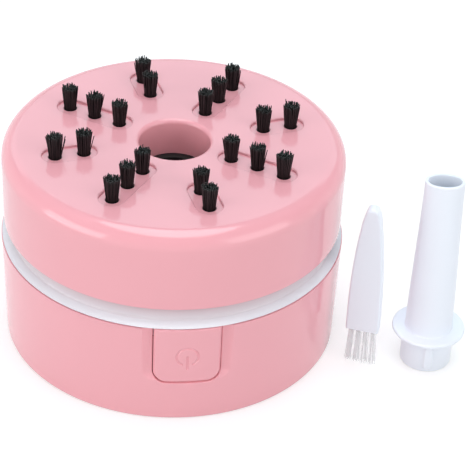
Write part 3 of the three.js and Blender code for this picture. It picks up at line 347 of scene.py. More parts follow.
class StageSizes(bpy.types.PropertyGroup):
    """The camera and the floor."""
    azimuth: angle("Azimuth", "Where the camera stands round the object, from -Y", -8.1)
    elevation: angle("Elevation", "Height of the camera above the horizon", 34.915)
    roll: angle("Roll", "Turn of the camera about its line of sight", 2.706)
    aim: FloatVectorProperty(name="Aim", description="Point that the camera looks at", size=3,
                             default=(15.753 * MM, -2.242 * MM, 26.018 * MM), subtype="TRANSLATION")
    distance: length("Distance", "Distance from the camera to its aim", 506)
    focal_pixels: FloatProperty(name="Focal pixels", description="Focal length in pixels", default=1994.66)
    picture_pixels: IntProperty(name="Picture", description="Width of the picture in pixels", default=470)
    floor_size: length("Floor size", "Width of the floor", 3000)


# Shapes as arrays of points


def polar(radius, degrees):
    """Place at a radius and a bearing from +X."""
    return radius * np.array([np.cos(np.radians(degrees)), np.sin(np.radians(degrees))])


def arc(x, y, radius, start, end, steps):
    """Points on a circular arc: the centre plus the radius at even angles from start to end, in degrees."""
    angles = np.radians(np.linspace(start, end, steps + 1))
    return np.stack([x + radius * np.cos(angles), y + radius * np.sin(angles)], axis=-1)


def line(start, end, steps=1):
    """Points spaced evenly on the straight line from start to end."""
    shares = np.linspace(0, 1, steps + 1)[:, None]
    return np.array(start) * (1 - shares) + np.array(end) * shares


def chain(*runs):
    """Runs of points joined end to end, each run giving up its first point to the one before."""
    return np.concatenate([runs[0], *(run[1:] for run in runs[1:])])


def between(first, last, steps):
    """Rows that pass evenly from one row of points to another."""
    shares = np.linspace(0, 1, steps + 1)[:, None, None]
    return first[None] * (1 - shares) + last[None] * shares


def raised(points, z):
    """Flat points lifted to a height."""
    return np.insert(points, 2, z, axis=-1)


def capped(loop, middle, bottom, top):
    """Rows of a flat piece: from the middle of its underside to its outline, up, and back to the middle."""
    middle = np.zeros_like(loop) + middle
    return np.stack([raised(middle, bottom), raised(loop, bottom), raised(loop, top), raised(middle, top)])


def turned(points, turn):
    """Points turned about Z by the angle: the usual rotation of x and y, with any z kept."""
    x, y, *rest = np.moveaxis(points, -1, 0)
    cosine, sine = np.cos(turn), np.sin(turn)
    return np.stack([x * cosine - y * sine, x * sine + y * cosine, *rest], axis=-1)


def placed(points, place, turn):
    """Points turned about Z and then moved in X and Y to a place on the floor."""
    return turned(points, turn) + np.array([place[0], place[1], 0])


def revolved(profile, angles):
    """A profile of [radius, height] points carried round Z: x and y are the radius times cosine and sine."""
    radius, height = profile[:, 0, None], profile[:, 1, None]
    return np.stack(np.broadcast_arrays(radius * np.cos(angles), radius * np.sin(angles), height), axis=-1)


def full_circle(columns):
    """Angles spaced evenly round a full turn."""
    return np.arange(columns) * FULL_TURN / columns


def quarter(steps):
    """Angles of a quarter turn without its start."""
    return np.linspace(0, np.pi / 2, steps + 1)[1:]


def box_loop(left, right, bottom, top):
    """The four corners of a rectangle, anticlockwise."""
    return np.array([(left, bottom), (right, bottom), (right, top), (left, top)])


def rounded_loop(half_width, half_height, corner, across, upward, half_corner):
    """A rectangle with rounded corners, anticlockwise from the middle of its lower left corner.

    across and upward count the steps along the lower and the right side, half_corner those of half a corner.
    """
    x, y = half_width - corner, half_height - corner
    sides = [across - 2 * half_corner, upward - 2 * half_corner] * 2
    centres = {180: (-x, -y), 270: (x, -y), 0: (x, y), 90: (-x, y)}
    corners = [arc(*centre, corner, start, start + 90, 2 * half_corner) for start, centre in centres.items()]
    following = corners[1:] + corners[:1]
    runs = [line(bend[-1], after[0], side)[1:-1] for bend, after, side in zip(corners, following, sides)]
    points = np.concatenate([part for pair in zip(corners, runs) for part in pair])
    return np.roll(points, -half_corner, axis=0)


def softly_positive(value, softness):
    """The value where it is positive and zero elsewhere, with a parabola between that rounds the change."""
    eased = (value + softness) ** 2 / (4 * softness)
    return np.where(value > softness, value, np.where(value < -softness, 0, eased))


def smooth_step(share):
    """Eases a share from 0 to 1: three times its square less twice its cube."""
    share = np.clip(share, 0, 1)
    return share * share * (3 - 2 * share)


def smooth_through(at, knots, values):
    """A cubic curve through the values at the knots, with each knot's slope taken from its neighbours."""
    knots, values = np.array(knots), np.array(values)
    slopes = np.gradient(values, knots)
    k = np.clip(np.searchsorted(knots, at, side="right") - 1, 0, len(knots) - 2)
    step = knots[k + 1] - knots[k]
    t = (at - knots[k]) / step
    return ((1 + 2 * t) * (1 - t) ** 2 * values[k] + t * (1 - t) ** 2 * step * slopes[k]
            + t * t * (3 - 2 * t) * values[k + 1] - t * t * (1 - t) * step * slopes[k + 1])


class Skin:
    """Collects the patches of one closed surface, to be welded where they meet."""

    def __init__(self):
        self.points = []
        self.faces = []
        self.total = 0

    def add(self, points):
        """Keeps the points and returns the number of the first."""
        start = self.total
        self.points.append(points.reshape(-1, 3))
        self.total += self.points[-1].shape[0]
        return start

    def grid(self, points, wrap=True, left_out=None):
        """Adds rows of points as quads. wrap joins the last column to the first, left_out drops quads."""
        rows, columns = points.shape[:2]
        index = self.add(points) + np.arange(rows * columns).reshape(rows, columns)
        if wrap:
            index = np.column_stack([index, index[:, 0]])
        quads = np.stack([index[:-1, :-1], index[:-1, 1:], index[1:, 1:], index[1:, :-1]], axis=-1)
        if left_out is not None:
            quads = quads[~left_out]
        self.faces.extend(quads.reshape(-1, 4).tolist())

    def polygon(self, points):
        """Adds one flat face."""
        start = self.add(points)
        self.faces.append(list(range(start, start + len(points))))

    def rods(self, points):
        """Adds closed rods from an array of rods, rings, sides and coordinates, with flat ends."""
        count, rings, sides = points.shape[:3]
        index = self.add(points) + np.arange(count * rings * sides).reshape(count, rings, sides)
        ahead = np.roll(index, -1, axis=2)
        quads = np.stack([index[:, :-1], ahead[:, :-1], ahead[:, 1:], index[:, 1:]], axis=-1)
        self.faces.extend(quads.reshape(-1, 4).tolist())
        self.faces.extend(index[:, 0, ::-1].tolist())
        self.faces.extend(index[:, -1].tolist())


def linked(name, data):
    """A new object in the scene."""
    made = bpy.data.objects.new(name, data)
    bpy.context.scene.collection.objects.link(made)
    return made


def welded(name, skin):
    """A skin as a closed mesh with its faces outwards."""
    mesh = bpy.data.meshes.new(name)
    mesh.from_pydata(np.concatenate(skin.points).tolist(), [], skin.faces)
    form = bmesh.new()
    form.from_mesh(mesh)
    bmesh.ops.remove_doubles(form, verts=form.verts, dist=WELD)
    open_edges = sum(not edge.is_manifold for edge in form.edges)
    if open_edges:
        raise RuntimeError(f"{name} has {open_edges} edges that aren't closed")
    bmesh.ops.recalc_face_normals(form, faces=form.faces)
    form.to_mesh(mesh)
    form.free()
    return mesh


def carved(skin, tools):
    """A skin with the forms of the tools taken out of it."""
    meshes = [welded("carving", part) for part in (skin, tools)]
    body, tool = [linked("carving", mesh) for mesh in meshes]
    change = body.modifiers.new("carving", "BOOLEAN")
    change.object, change.operation, change.solver = tool, "DIFFERENCE", "MANIFOLD"
    result = body.evaluated_get(bpy.context.evaluated_depsgraph_get()).data
    left = Skin()
    left.add(np.array([vertex.co for vertex in result.vertices]))
    left.faces = [list(face.vertices) for face in result.polygons]
    for mesh in meshes:
        bpy.data.meshes.remove(mesh)
    return left


def add_prism(skin, loop, bottom, top):
    """A flat outline of [x, y] points drawn up from one height to another."""
    low, high = raised(loop, bottom), raised(loop, top)
    skin.grid(np.stack([low, high]))
    skin.polygon(low)
    skin.polygon(high)


def add_boss(skin, place, radius, hole, root, mouth, depth):
    """A round boss from its root to its mouth, with a blind hole of the given depth for a screw."""
    toward = np.sign(mouth - root)
    slope, end = mouth - toward * BOSS_EDGE, mouth - toward * depth
    profile = np.array([(0, root), (radius, root), (radius, slope), (radius - BOSS_EDGE, mouth),
                        (hole + BOSS_EDGE, mouth), (hole, slope), (hole, end), (0, end)])
    skin.grid(revolved(profile, full_circle(BOSS_COLUMNS)) + np.array([*place, 0]))


def add_screw_holes(skin, ring, bearings, bottom, top):
    """Cutters for round screw holes on a ring, one at each bearing in degrees."""
    for degrees in bearings:
        hole = arc(*polar(ring, degrees), chosen("inner").hole, 0, 360, BOSS_COLUMNS)[:-1]
        add_prism(skin, hole, bottom, top)


def ring_piece(inner, outer, start, end, columns):
    """Outline of a piece of a flat ring between two bearings in degrees."""
    return chain(arc(0, 0, outer, start, end, columns), arc(0, 0, inner, end, start, columns))


def finished(name, skin, body, slot, node_name, crease=CREASE, material=None):
    """Puts a skin on its body in place of a frame node, in its slot's finish unless a material is given."""
    mesh = welded(name, skin)
    mesh.shade_smooth()
    mesh.set_sharp_from_angle(angle=np.radians(crease))
    mesh.materials.append(material or finish_of(slot))
    made = linked(name, mesh)
    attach(made, body)
    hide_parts(node_name)


# Finishes


def node(tree, kind, place, given=(), **properties):
    """Adds a node. given pairs each output to join, or value to set, with the input that takes it."""
    made = tree.nodes.new(kind)
    made.location = place
    for key, value in properties.items():
        setattr(made, key, value)
    for source, target in given:
        if isinstance(source, bpy.types.NodeSocket):
            tree.links.new(source, made.inputs[target])
        else:
            made.inputs[target].default_value = source
    return made


MOULDED = "Moulded surface"
PEEL_HEIGHT = 0.02 * MM
MOULDED_INPUTS = [
    ("Colour", "NodeSocketColor", (0.8, 0.8, 0.8, 1)),
    ("Cloud Scale", "NodeSocketFloat", 60),
    ("Cloudiness", "NodeSocketFloat", 0.03),
    ("Roughness", "NodeSocketFloat", 0.3),
    ("Gloss Variation", "NodeSocketFloat", 0.05),
    ("Peel Scale", "NodeSocketFloat", 900),
    ("Peel", "NodeSocketFloat", 0.05),
]
# What the moulded surface gives, with the shader's input that takes it
MOULDED_OUTPUTS = [
    ("Colour", "NodeSocketColor", "Base Color"),
    ("Roughness", "NodeSocketFloat", "Roughness"),
    ("Normal", "NodeSocketVector", "Normal"),
]
# Numbers of a mix node's colour sockets
MIX_FIRST, MIX_SECOND, MIX_RESULT = 6, 7, 2


def moulded_group():
    """Gives moulded plastic its slight cloudiness, its uneven gloss and the mould's faint orange peel."""
    if MOULDED in bpy.data.node_groups:
        return bpy.data.node_groups[MOULDED]
    tree = bpy.data.node_groups.new(MOULDED, "ShaderNodeTree")
    for label, kind, default in MOULDED_INPUTS:
        tree.interface.new_socket(name=label, in_out="INPUT", socket_type=kind).default_value = default
    for label, kind, _ in MOULDED_OUTPUTS:
        tree.interface.new_socket(name=label, in_out="OUTPUT", socket_type=kind)
    given = node(tree, "NodeGroupInput", (-900, 0)).outputs
    place = node(tree, "ShaderNodeTexCoord", (-900, 300)).outputs["Object"]
    cloud = node(tree, "ShaderNodeTexNoise", (-650, 300),
                 [(place, "Vector"), (given["Cloud Scale"], "Scale"), (3, "Detail")]).outputs["Fac"]
    fine = node(tree, "ShaderNodeTexNoise", (-650, -300),
                [(place, "Vector"), (given["Peel Scale"], "Scale"), (2, "Detail")]).outputs["Fac"]
    centred = node(tree, "ShaderNodeMath", (-450, 300), [(cloud, 0), (0.5, 1)],
                   operation="SUBTRACT").outputs[0]
    tint = node(tree, "ShaderNodeMath", (-300, 400), [(centred, 0), (given["Cloudiness"], 1), (1, 2)],
                operation="MULTIPLY_ADD").outputs[0]
    shaded = node(tree, "ShaderNodeVectorMath", (-100, 300), [(given["Colour"], 0), (tint, "Scale")],
                  operation="SCALE")
    gloss = node(tree, "ShaderNodeMath", (-300, 100), [
        (centred, 0), (given["Gloss Variation"], 1), (given["Roughness"], 2),
    ], operation="MULTIPLY_ADD")
    bump = node(tree, "ShaderNodeBump", (-100, -300),
                [(fine, "Height"), (given["Peel"], "Strength"), (PEEL_HEIGHT, "Distance")])
    node(tree, "NodeGroupOutput", (200, 0), [
        (shaded.outputs[0], "Colour"), (gloss.outputs[0], "Roughness"), (bump.outputs[0], "Normal"),
    ])
    return tree


def material_of(name, **sockets):
    """A material with one principled shader, whose plain values are set on its own sockets."""
    made = bpy.data.materials.new(name)
    made.use_nodes = True
    shader = made.node_tree.nodes["Principled BSDF"]
    for label, value in sockets.items():
        shader.inputs[label.replace("_", " ").title()].default_value = value
    return made, made.node_tree, shader


def moulded(name, base, roughness, surface=(), **sockets):
    """Moulded plastic in one colour. surface pairs inputs of the moulded surface with values of their own."""
    if name in bpy.data.materials:
        return bpy.data.materials[name]
    made, tree, shader = material_of(name, **sockets)
    skin = node(tree, "ShaderNodeGroup", (-300, 300), node_tree=moulded_group())
    for label, value in [("Colour", (*base, 1)), ("Roughness", roughness), *surface]:
        skin.inputs[label].default_value = value
    for source, _, target in MOULDED_OUTPUTS:
        tree.links.new(skin.outputs[source], shader.inputs[target])
    return made


# Plain finishes by slot: the colour's setting, the roughness, and what differs on the surface and the shader
PLAIN_FINISHES = {
    "pink_plastic": ("pink", 0.11, [], {}),
    "white_plastic": ("bright_white", 0.3, [], {}),
    "inner_plastic": ("inner", 0.42, [], {}),
    "black_plastic": ("black", 0.5, [], {}),
    "rubber": ("rubber", 0.7, [("Peel", 0.3), ("Peel Scale", 1500)], {}),
    "circuit_board": ("board", 0.4, [], {}),
    "cell_sleeve": ("sleeve", 0.35, [], {}),
    "foam": ("foam", 0.95, [("Cloudiness", 0.8), ("Peel", 1), ("Peel Scale", 2500)], {}),
    "screw_steel": ("steel", 0.3, [], {"metallic": 1}),
    "motor_steel": ("motor_steel", 0.42, [], {"metallic": 1}),
    "clear_bristle": ("clear_bristle", 0.25, [("Cloudiness", 0.06)], {"alpha": 0.4}),
}


def finish_of(slot):
    """The finish that belongs to a slot."""
    if slot == "black_bristle":
        return black_bristle()
    shade, roughness, surface, sockets = PLAIN_FINISHES[slot]
    return moulded(f"{slot}_finish", getattr(chosen("finish"), shade), roughness, surface, **sockets)


# Stops of the painted shade: the level each counts from, its millimetres above that, and its paleness
BAND_PAINTED_SHADE = [("corner", -0.1, 1), ("corner", 0.3, 0.45), ("head", -1.6, 0), ("top", 0, 0), ("head", 0, 1)]
BAND_ROUGHNESS, BRISTLE_ROUGHNESS = 0.3, 0.5
# How far outside the spigot the painted shade begins
PAINTED_SHADE_MARGIN = 0.05 * MM


def band_plastic_painted_shade():
    """White plastic with painted shade and a painted pink reflection of the shells on its hollow's wall."""
    finish, band = chosen("finish"), chosen("band")
    made = moulded("band_plastic_finish", finish.white, BAND_ROUGHNESS)
    tree = made.node_tree
    shader = tree.nodes["Principled BSDF"]
    # Painted shade: darker and pinker up the hollow's wall from the ledge's corner to the head, as if under
    # its overhang
    place = node(tree, "ShaderNodeTexCoord", (-1100, -200)).outputs["Object"]
    height = node(tree, "ShaderNodeSeparateXYZ", (-900, -200), [(place, "Vector")]).outputs["Z"]
    share = node(tree, "ShaderNodeMapRange", (-700, -200),
                 [(height, "Value"), (RIM_HEIGHT, "From Min"), (HEAD_FOOT, "From Max")]).outputs[0]
    painted_shade_ramp = node(tree, "ShaderNodeValToRGB", (-500, -200), [(share, "Fac")])
    corner = RIM_HEIGHT + band.gap + band.lip + band.ledge
    levels = {"corner": corner, "top": HEAD_FOOT - band.gap, "head": HEAD_FOOT}
    shade = np.array(finish.band_painted_shade)
    stops = painted_shade_ramp.color_ramp.elements
    for k, (level, rise, paleness) in enumerate(BAND_PAINTED_SHADE):
        at = (levels[level] + rise * MM - RIM_HEIGHT) / (HEAD_FOOT - RIM_HEIGHT)
        stop = stops[0] if k == 0 else stops.new(at)
        stop.position = at
        stop.color = (*(shade + (1 - shade) * paleness), 1)
    stops.remove(stops[-1])
    # The painted shade lies only on the band's outside, beyond the spigot
    flat = node(tree, "ShaderNodeVectorMath", (-900, -500), [(place, 0), ((1, 1, 0), 1)],
                operation="MULTIPLY")
    radius = node(tree, "ShaderNodeVectorMath", (-700, -500), [(flat.outputs[0], 0)], operation="LENGTH")
    outside = node(tree, "ShaderNodeMath", (-500, -500), [
        (radius.outputs["Value"], 0), (band.spigot_radius + PAINTED_SHADE_MARGIN, 1),
    ], operation="GREATER_THAN")
    mix = node(tree, "ShaderNodeMix", (-200, -200), [
        (outside.outputs[0], "Factor"), (shader.inputs["Base Color"].links[0].from_socket, MIX_FIRST),
        (painted_shade_ramp.outputs["Color"], MIX_SECOND),
    ], data_type="RGBA", blend_type="MULTIPLY")
    tree.links.new(mix.outputs[MIX_RESULT], shader.inputs["Base Color"])
    return made


def black_bristle():
    """Black nylon that turns paler towards its tips: a painted highlight of the light on the tips."""
    name = "black_bristle_finish"
    if name in bpy.data.materials:
        return bpy.data.materials[name]
    finish, tufts = chosen("finish"), chosen("tufts")
    made, tree, shader = material_of(name, roughness=BRISTLE_ROUGHNESS)
    place = node(tree, "ShaderNodeTexCoord", (-900, 0)).outputs["Object"]
    height = node(tree, "ShaderNodeSeparateXYZ", (-700, 0), [(place, "Vector")]).outputs["Z"]
    top = FACE_HEIGHT + tufts.height
    # Painted highlight: paler from below the lowest tips up to the highest
    tip = node(tree, "ShaderNodeMapRange", (-500, 0), [
        (height, "Value"), (top - 2 * tufts.ragged, "From Min"), (top + tufts.ragged, "From Max"),
    ]).outputs[0]
    mix = node(tree, "ShaderNodeMix", (-300, 0), [
        (tip, "Factor"), ((*finish.bristle, 1), MIX_FIRST), ((*finish.bristle_tip_highlight, 1), MIX_SECOND),
    ], data_type="RGBA")
    tree.links.new(mix.outputs[MIX_RESULT], shader.inputs["Base Color"])
    return made


# Lower housing

# Steps of the housing's grid: across the window, along each flank and across one vent's share of the back
WINDOW_COLUMNS, FLANK_COLUMNS, VENT_COLUMNS = 48, 198, 12
LOW_ROWS, VENT_ROWS, HIGH_ROWS = 8, 12, 5
FOOT_ROWS, FLOOR_RINGS = 4, 6
WINDOW_STRAIGHT, WINDOW_CORNER, WINDOW_BOTTOM = 19, 15, 30
# Rows round the window, from the grid to the apron, on the apron and inside, and round a hole on either side
BORDER_ROWS, APRON_ROWS, INNER_ROWS, HOLE_ROWS = 6, 14, 4, 2
VENT_CORNER, SOCKET_CORNER = 2, 3
SADDLE_STEPS = 24
WINDOW_HALF = np.radians(18)
LOW_LEVEL, SOCKET_LEVEL, VENT_LEVEL = 6 * MM, 12.4 * MM, 22.4 * MM
APRON = 2.2 * MM
SCOOP_SOFTNESS = 0.08 * MM
# How many vents' shares of the back the charging socket's opening takes up
SOCKET_VENTS = 3


def wall_radius(z):
    """Outside radius of the housing at a height: it grows evenly from the foot to the rim."""
    return RIM_RADIUS - chosen("housing").taper * (1 - z / RIM_HEIGHT)


def on_wall(x, z, depth, turn=0.0):
    """Points at a depth below the wall: y is minus the root of its radius squared less x squared."""
    x, z, depth = np.broadcast_arrays(x, z, depth)
    reach = wall_radius(z) - depth
    return turned(np.stack([x, -np.sqrt(reach ** 2 - x ** 2), z], axis=-1), turn)


def button_sides(margin, top, side_steps, corner_steps, bottom_steps):
    """The button's outline with a margin: down its left side, along its bottom and up its right side."""
    button = chosen("button")
    half = button.width / 2 + margin
    corner = button.corner + margin
    low = RIM_HEIGHT - button.height - margin
    return chain(
        line((-half, top), (-half, low + corner), side_steps),
        arc(corner - half, low + corner, corner, 180, 270, corner_steps),
        line((corner - half, low), (half - corner, low), bottom_steps),
        arc(half - corner, low + corner, corner, 270, 360, corner_steps),
        line((half, low + corner), (half, top), side_steps),
    )


def window_outline(margin):
    """The power button's window, open at the rim."""
    return button_sides(margin, RIM_HEIGHT, WINDOW_STRAIGHT, WINDOW_CORNER, WINDOW_BOTTOM)


def scoop_dip(x, z):
    """Depth of the finger scoops: a ball of the scoop's radius run up the window's sides, less the wall."""
    housing, button = chosen("housing"), chosen("button")
    edge = button.width / 2 + housing.window_gap
    foot = RIM_HEIGHT - button.height + button.corner
    away = np.hypot(np.abs(x) - edge, np.minimum(z - foot, 0))
    bite = np.sqrt(np.clip(housing.scoop_radius ** 2 - away ** 2, 0, None)) - housing.scoop_radius
    lean = np.maximum(wall_radius(z) - wall_radius(foot), 0)
    return softly_positive(bite + housing.scoop_depth + lean, SCOOP_SOFTNESS)


def wall_border(angles, heights, depth):
    """Points of the wall's outside or inside as x and z, at bearings from -Y."""
    return np.stack([(wall_radius(heights) - depth) * np.sin(angles), heights], axis=-1)


def add_window(skin, levels):
    """The wall round the button: rows from a rectangle of the grid to the window, round its edge and back."""
    housing = chosen("housing")
    side = np.full(len(levels), WINDOW_HALF)
    angles = chain(-side, np.linspace(-WINDOW_HALF, WINDOW_HALF, WINDOW_COLUMNS + 1), side)
    heights = chain(levels[::-1], np.full(WINDOW_COLUMNS + 1, LOW_LEVEL), levels)
    gap, edge = housing.window_gap, housing.edge
    apron = between(wall_border(angles, heights, 0), window_outline(gap + APRON), BORDER_ROWS)
    near = np.stack([window_outline(gap + margin) for margin in np.linspace(APRON, edge, APRON_ROWS + 1)[1:]])
    bend = quarter(EDGE_STEPS)
    rounding = np.stack([window_outline(gap + margin) for margin in edge * (1 - np.sin(bend))])
    outside = np.concatenate([apron, near, rounding])
    depths = np.concatenate([np.zeros(len(apron) + len(near)), edge * (1 - np.cos(bend))])[:, None]
    depths = depths + scoop_dip(outside[..., 0], outside[..., 1])
    inside = between(window_outline(gap), wall_border(angles, heights, housing.wall), INNER_ROWS)
    rows = np.concatenate([outside, inside])
    depths = np.concatenate([depths, np.full(inside.shape[:2], housing.wall)])
    points = on_wall(rows[..., 0], rows[..., 1], depths)
    skin.grid(points, wrap=False)
    skin.polygon(points[:, 0])
    skin.polygon(points[:, -1])


def add_wall_hole(skin, turn, half_angle, levels, columns, half_corner, hole):
    """A hole in the wall: rows from a rectangle of the grid to the hole's loop, over its edge and through.

    hole holds its half width, half height, corner radius and the height of its middle.
    """
    housing = chosen("housing")
    half_width, half_height, corner, middle = hole
    across, upward = np.linspace(-half_angle, half_angle, columns + 1), len(levels) - 1
    side = np.full(upward, half_angle)
    angles = np.concatenate([across[:-1], side, across[:0:-1], -side])
    ends = [np.full(columns, level) for level in (levels[0], levels[-1])]
    heights = np.concatenate([ends[0], levels[:-1], ends[1], levels[:0:-1]])

    def loop(margin):
        size = half_width + margin, half_height + margin, corner + margin
        return rounded_loop(*size, columns, upward, half_corner) + np.array([0, middle])

    bend = quarter(EDGE_STEPS)
    edge = housing.edge
    outside = between(wall_border(angles, heights, 0), loop(edge), HOLE_ROWS)
    rounding = np.stack([loop(margin) for margin in edge * (1 - np.sin(bend))])
    inside = between(loop(0), wall_border(angles, heights, housing.wall), HOLE_ROWS)
    rows = np.concatenate([outside, rounding, inside])
    depths = [np.zeros(len(outside)), edge * (1 - np.cos(bend)), np.full(len(inside), housing.wall)]
    skin.grid(on_wall(rows[..., 0], rows[..., 1], np.concatenate(depths)[:, None], turn))


def housing_skin():
    """The housing: a tapered wall, a rounded foot and a floor, with a window, vents and the socket's hole."""
    housing = chosen("housing")
    skin = Skin()
    back_half = housing.vent_pitch * housing.vent_count / 2
    window_angles = np.linspace(-WINDOW_HALF, WINDOW_HALF, WINDOW_COLUMNS + 1)
    angles = chain(
        np.linspace(WINDOW_HALF, np.pi - back_half, FLANK_COLUMNS + 1),
        np.linspace(np.pi - back_half, np.pi + back_half, VENT_COLUMNS * housing.vent_count + 1),
        np.linspace(np.pi + back_half, FULL_TURN - WINDOW_HALF, FLANK_COLUMNS + 1),
    )
    levels = chain(
        np.linspace(LOW_LEVEL, SOCKET_LEVEL, LOW_ROWS + 1),
        np.linspace(SOCKET_LEVEL, VENT_LEVEL, VENT_ROWS + 1),
        np.linspace(VENT_LEVEL, RIM_HEIGHT, HIGH_ROWS + 1),
    )

    def wall(depth):
        radius, height = wall_radius(levels[:, None]) - depth, levels[:, None]
        points = np.broadcast_arrays(radius * np.sin(angles), -radius * np.cos(angles), height)
        return np.stack(points, axis=-1)

    from_back = np.abs((angles[:-1] + angles[1:]) / 2 - np.pi)[None]
    middle = ((levels[:-1] + levels[1:]) / 2)[:, None]
    socket_half = housing.vent_pitch * SOCKET_VENTS / 2
    left_out = (from_back < back_half) & (middle > SOCKET_LEVEL) & (middle < VENT_LEVEL)
    left_out |= (from_back < socket_half) & (middle < SOCKET_LEVEL)
    outer, inner = wall(0), wall(housing.wall)
    for rows in (outer, inner):
        skin.grid(rows, wrap=False, left_out=left_out)
    skin.grid(np.stack([outer[-1], inner[-1]]), wrap=False)
    add_window(skin, levels)
    add_foot(skin, chain(window_angles, angles)[:-1])
    add_back_openings(skin, levels, socket_half)
    add_housing_bosses(skin)
    add_cradle_and_rails(skin)
    return skin


def add_housing_bosses(skin):
    """The bosses for the frame, each ribbed to the wall, and those for the battery clip and the board."""
    housing, inner = chosen("housing"), chosen("inner")
    root = housing.floor - SINK
    for degrees in THIRDS:
        top = DECK_BOTTOM - inner.frame_gap
        add_boss(skin, polar(inner.frame_ring, degrees), inner.boss, inner.hole, root, top, inner.bite)
        reach = wall_radius(housing.floor) - housing.wall + 2 * SINK
        rib = box_loop(inner.frame_ring + inner.boss - SINK, reach, -inner.rib / 2, inner.rib / 2)
        add_prism(skin, turned(rib, np.radians(degrees)), root, housing.floor + inner.rib_height)
    for side in (-1, 1):
        place = (CELL_PLACE[0] + side * inner.clip_reach, inner.clip_place)
        top = CELL_PLACE[1] - inner.clip_drop
        add_boss(skin, place, inner.small_boss, inner.hole, root, top, top - housing.floor)
        place = (side * inner.charge_half, inner.charge_place)
        top = housing.floor + inner.charge_boss
        add_boss(skin, place, inner.small_boss, inner.hole, root, top, inner.charge_boss)


def add_cradle_and_rails(skin):
    """Two ribs hollowed to carry the cell, and two grooved rails that hold the switch board."""
    housing, inner = chosen("housing"), chosen("inner")
    root = housing.floor - SINK
    cell_x, cell_z = CELL_PLACE
    rim = cell_z - inner.cradle_drop
    radius = CELL_RADIUS + inner.cradle_gap
    open_half = np.degrees(np.arccos(inner.cradle_drop / radius))
    saddle = arc(cell_x, cell_z, radius, -90 - open_half, -90 + open_half, SADDLE_STEPS)
    outline = chain([(cell_x - inner.clip_reach, root), (cell_x - inner.clip_reach, rim)], saddle,
                    [(cell_x + inner.clip_reach, rim), (cell_x + inner.clip_reach, root)])
    for side in (-1, 1):
        across = [side * inner.clip_place - inner.rib / 2, side * inner.clip_place + inner.rib / 2]
        near, far = [np.insert(outline, 1, y, axis=-1) for y in across]
        skin.grid(np.stack([near, far]))
        skin.polygon(near)
        skin.polygon(far)
    board_low, board_high = span("switch_board")
    groove_half = board_high[0] + inner.cradle_gap
    front, back = board_low[1] - inner.cradle_gap, board_high[1] + inner.cradle_gap
    middle = (front + back) / 2
    near, half = inner.rail_reach - inner.rail_width, inner.rail_depth / 2
    block = box_loop(near, inner.rail_reach, middle - half, middle + half)
    rail = np.concatenate([block, [(near, back), (groove_half, back), (groove_half, front), (near, front)]])
    for side in (-1, 1):
        add_prism(skin, rail * (side, 1), root, housing.floor + inner.rail_height)


def add_foot(skin, angles):
    """The lower wall, the rounded foot and the floor, carried round the axis."""
    housing = chosen("housing")
    foot = housing.foot_round
    foot_radius = wall_radius(foot)
    outside = chain(
        line((wall_radius(LOW_LEVEL), LOW_LEVEL), (foot_radius, foot), FOOT_ROWS),
        arc(foot_radius - foot, foot, foot, 0, -90, FILLET_STEPS),
        line((foot_radius - foot, 0), (0, 0), FLOOR_RINGS),
    )
    floor_radius = wall_radius(housing.floor) - housing.wall
    inside = chain(
        line((0, housing.floor), (floor_radius, housing.floor), FLOOR_RINGS),
        line((floor_radius, housing.floor), (wall_radius(LOW_LEVEL) - housing.wall, LOW_LEVEL), FOOT_ROWS),
    )
    for profile in (outside, inside):
        skin.grid(revolved(profile, angles - np.pi / 2))


def add_back_openings(skin, levels, socket_half):
    """The row of exhaust vents at the back and, below them, the opening for the charging socket."""
    housing = chosen("housing")
    vent = (housing.vent_width / 2, housing.vent_height / 2, housing.vent_corner,
            DECK_BOTTOM - housing.vent_drop - housing.vent_height / 2)
    vent_levels = levels[LOW_ROWS:LOW_ROWS + VENT_ROWS + 1]
    for i in range(housing.vent_count):
        turn = np.pi + (i - (housing.vent_count - 1) / 2) * housing.vent_pitch
        add_wall_hole(skin, turn, housing.vent_pitch / 2, vent_levels, VENT_COLUMNS, VENT_CORNER, vent)
    low, high = span("charge_socket")
    half_width, _, half_height = (high - low) / 2 + housing.socket_margin
    socket = (half_width, half_height, housing.socket_corner, (low[2] + high[2]) / 2)
    columns = VENT_COLUMNS * SOCKET_VENTS
    add_wall_hole(skin, np.pi, socket_half, levels[:LOW_ROWS + 1], columns, SOCKET_CORNER, socket)


class VACUUM_OT_housing(bpy.types.Operator):
    """Builds the lower housing"""
    bl_idname = "vacuum.housing"
    bl_label = "Lower Housing"

    def execute(self, context):
        finished("motor_housing_shell", housing_skin(), "housing", "pink_plastic", "motor_housing")
        return {"FINISHED"}


# Power button

# Steps along the button's outline and out from its press point
BUTTON_TOP, BUTTON_SIDE, BUTTON_CORNER, BUTTON_BOTTOM = 96, 60, 20, 72
SYMBOL_ROWS, FACE_ROWS = 64, 12


def button_loop(margin, top):
    """The button's closed outline, anticlockwise from its upper right corner."""
    sides = button_sides(margin, top, BUTTON_SIDE, BUTTON_CORNER, BUTTON_BOTTOM)
    return chain(line(sides[-1], sides[0], BUTTON_TOP), sides)[:-1]


def symbol_dip(x, z):
    """Depth of the power symbol: the distance to an open circle and a bar, less half the line, eased."""
    button = chosen("button")
    z = z - (RIM_HEIGHT - button.symbol_drop)
    half_gap = button.symbol_gap / 2
    off_bottom = np.abs(np.arctan2(x, -z))
    end = np.array([np.sin(half_gap), -np.cos(half_gap)]) * button.symbol_radius
    to_ring = np.where(off_bottom > half_gap, np.abs(np.hypot(x, z) - button.symbol_radius),
                       np.hypot(np.abs(x) - end[0], z - end[1]))
    to_bar = np.hypot(x, z - np.clip(z, -button.symbol_bar, 0))
    inside = button.symbol_line / 2 - np.minimum(to_ring, to_bar)
    ease = button.symbol_line / 4
    return button.symbol_depth * smooth_step((inside + ease) / (2 * ease))


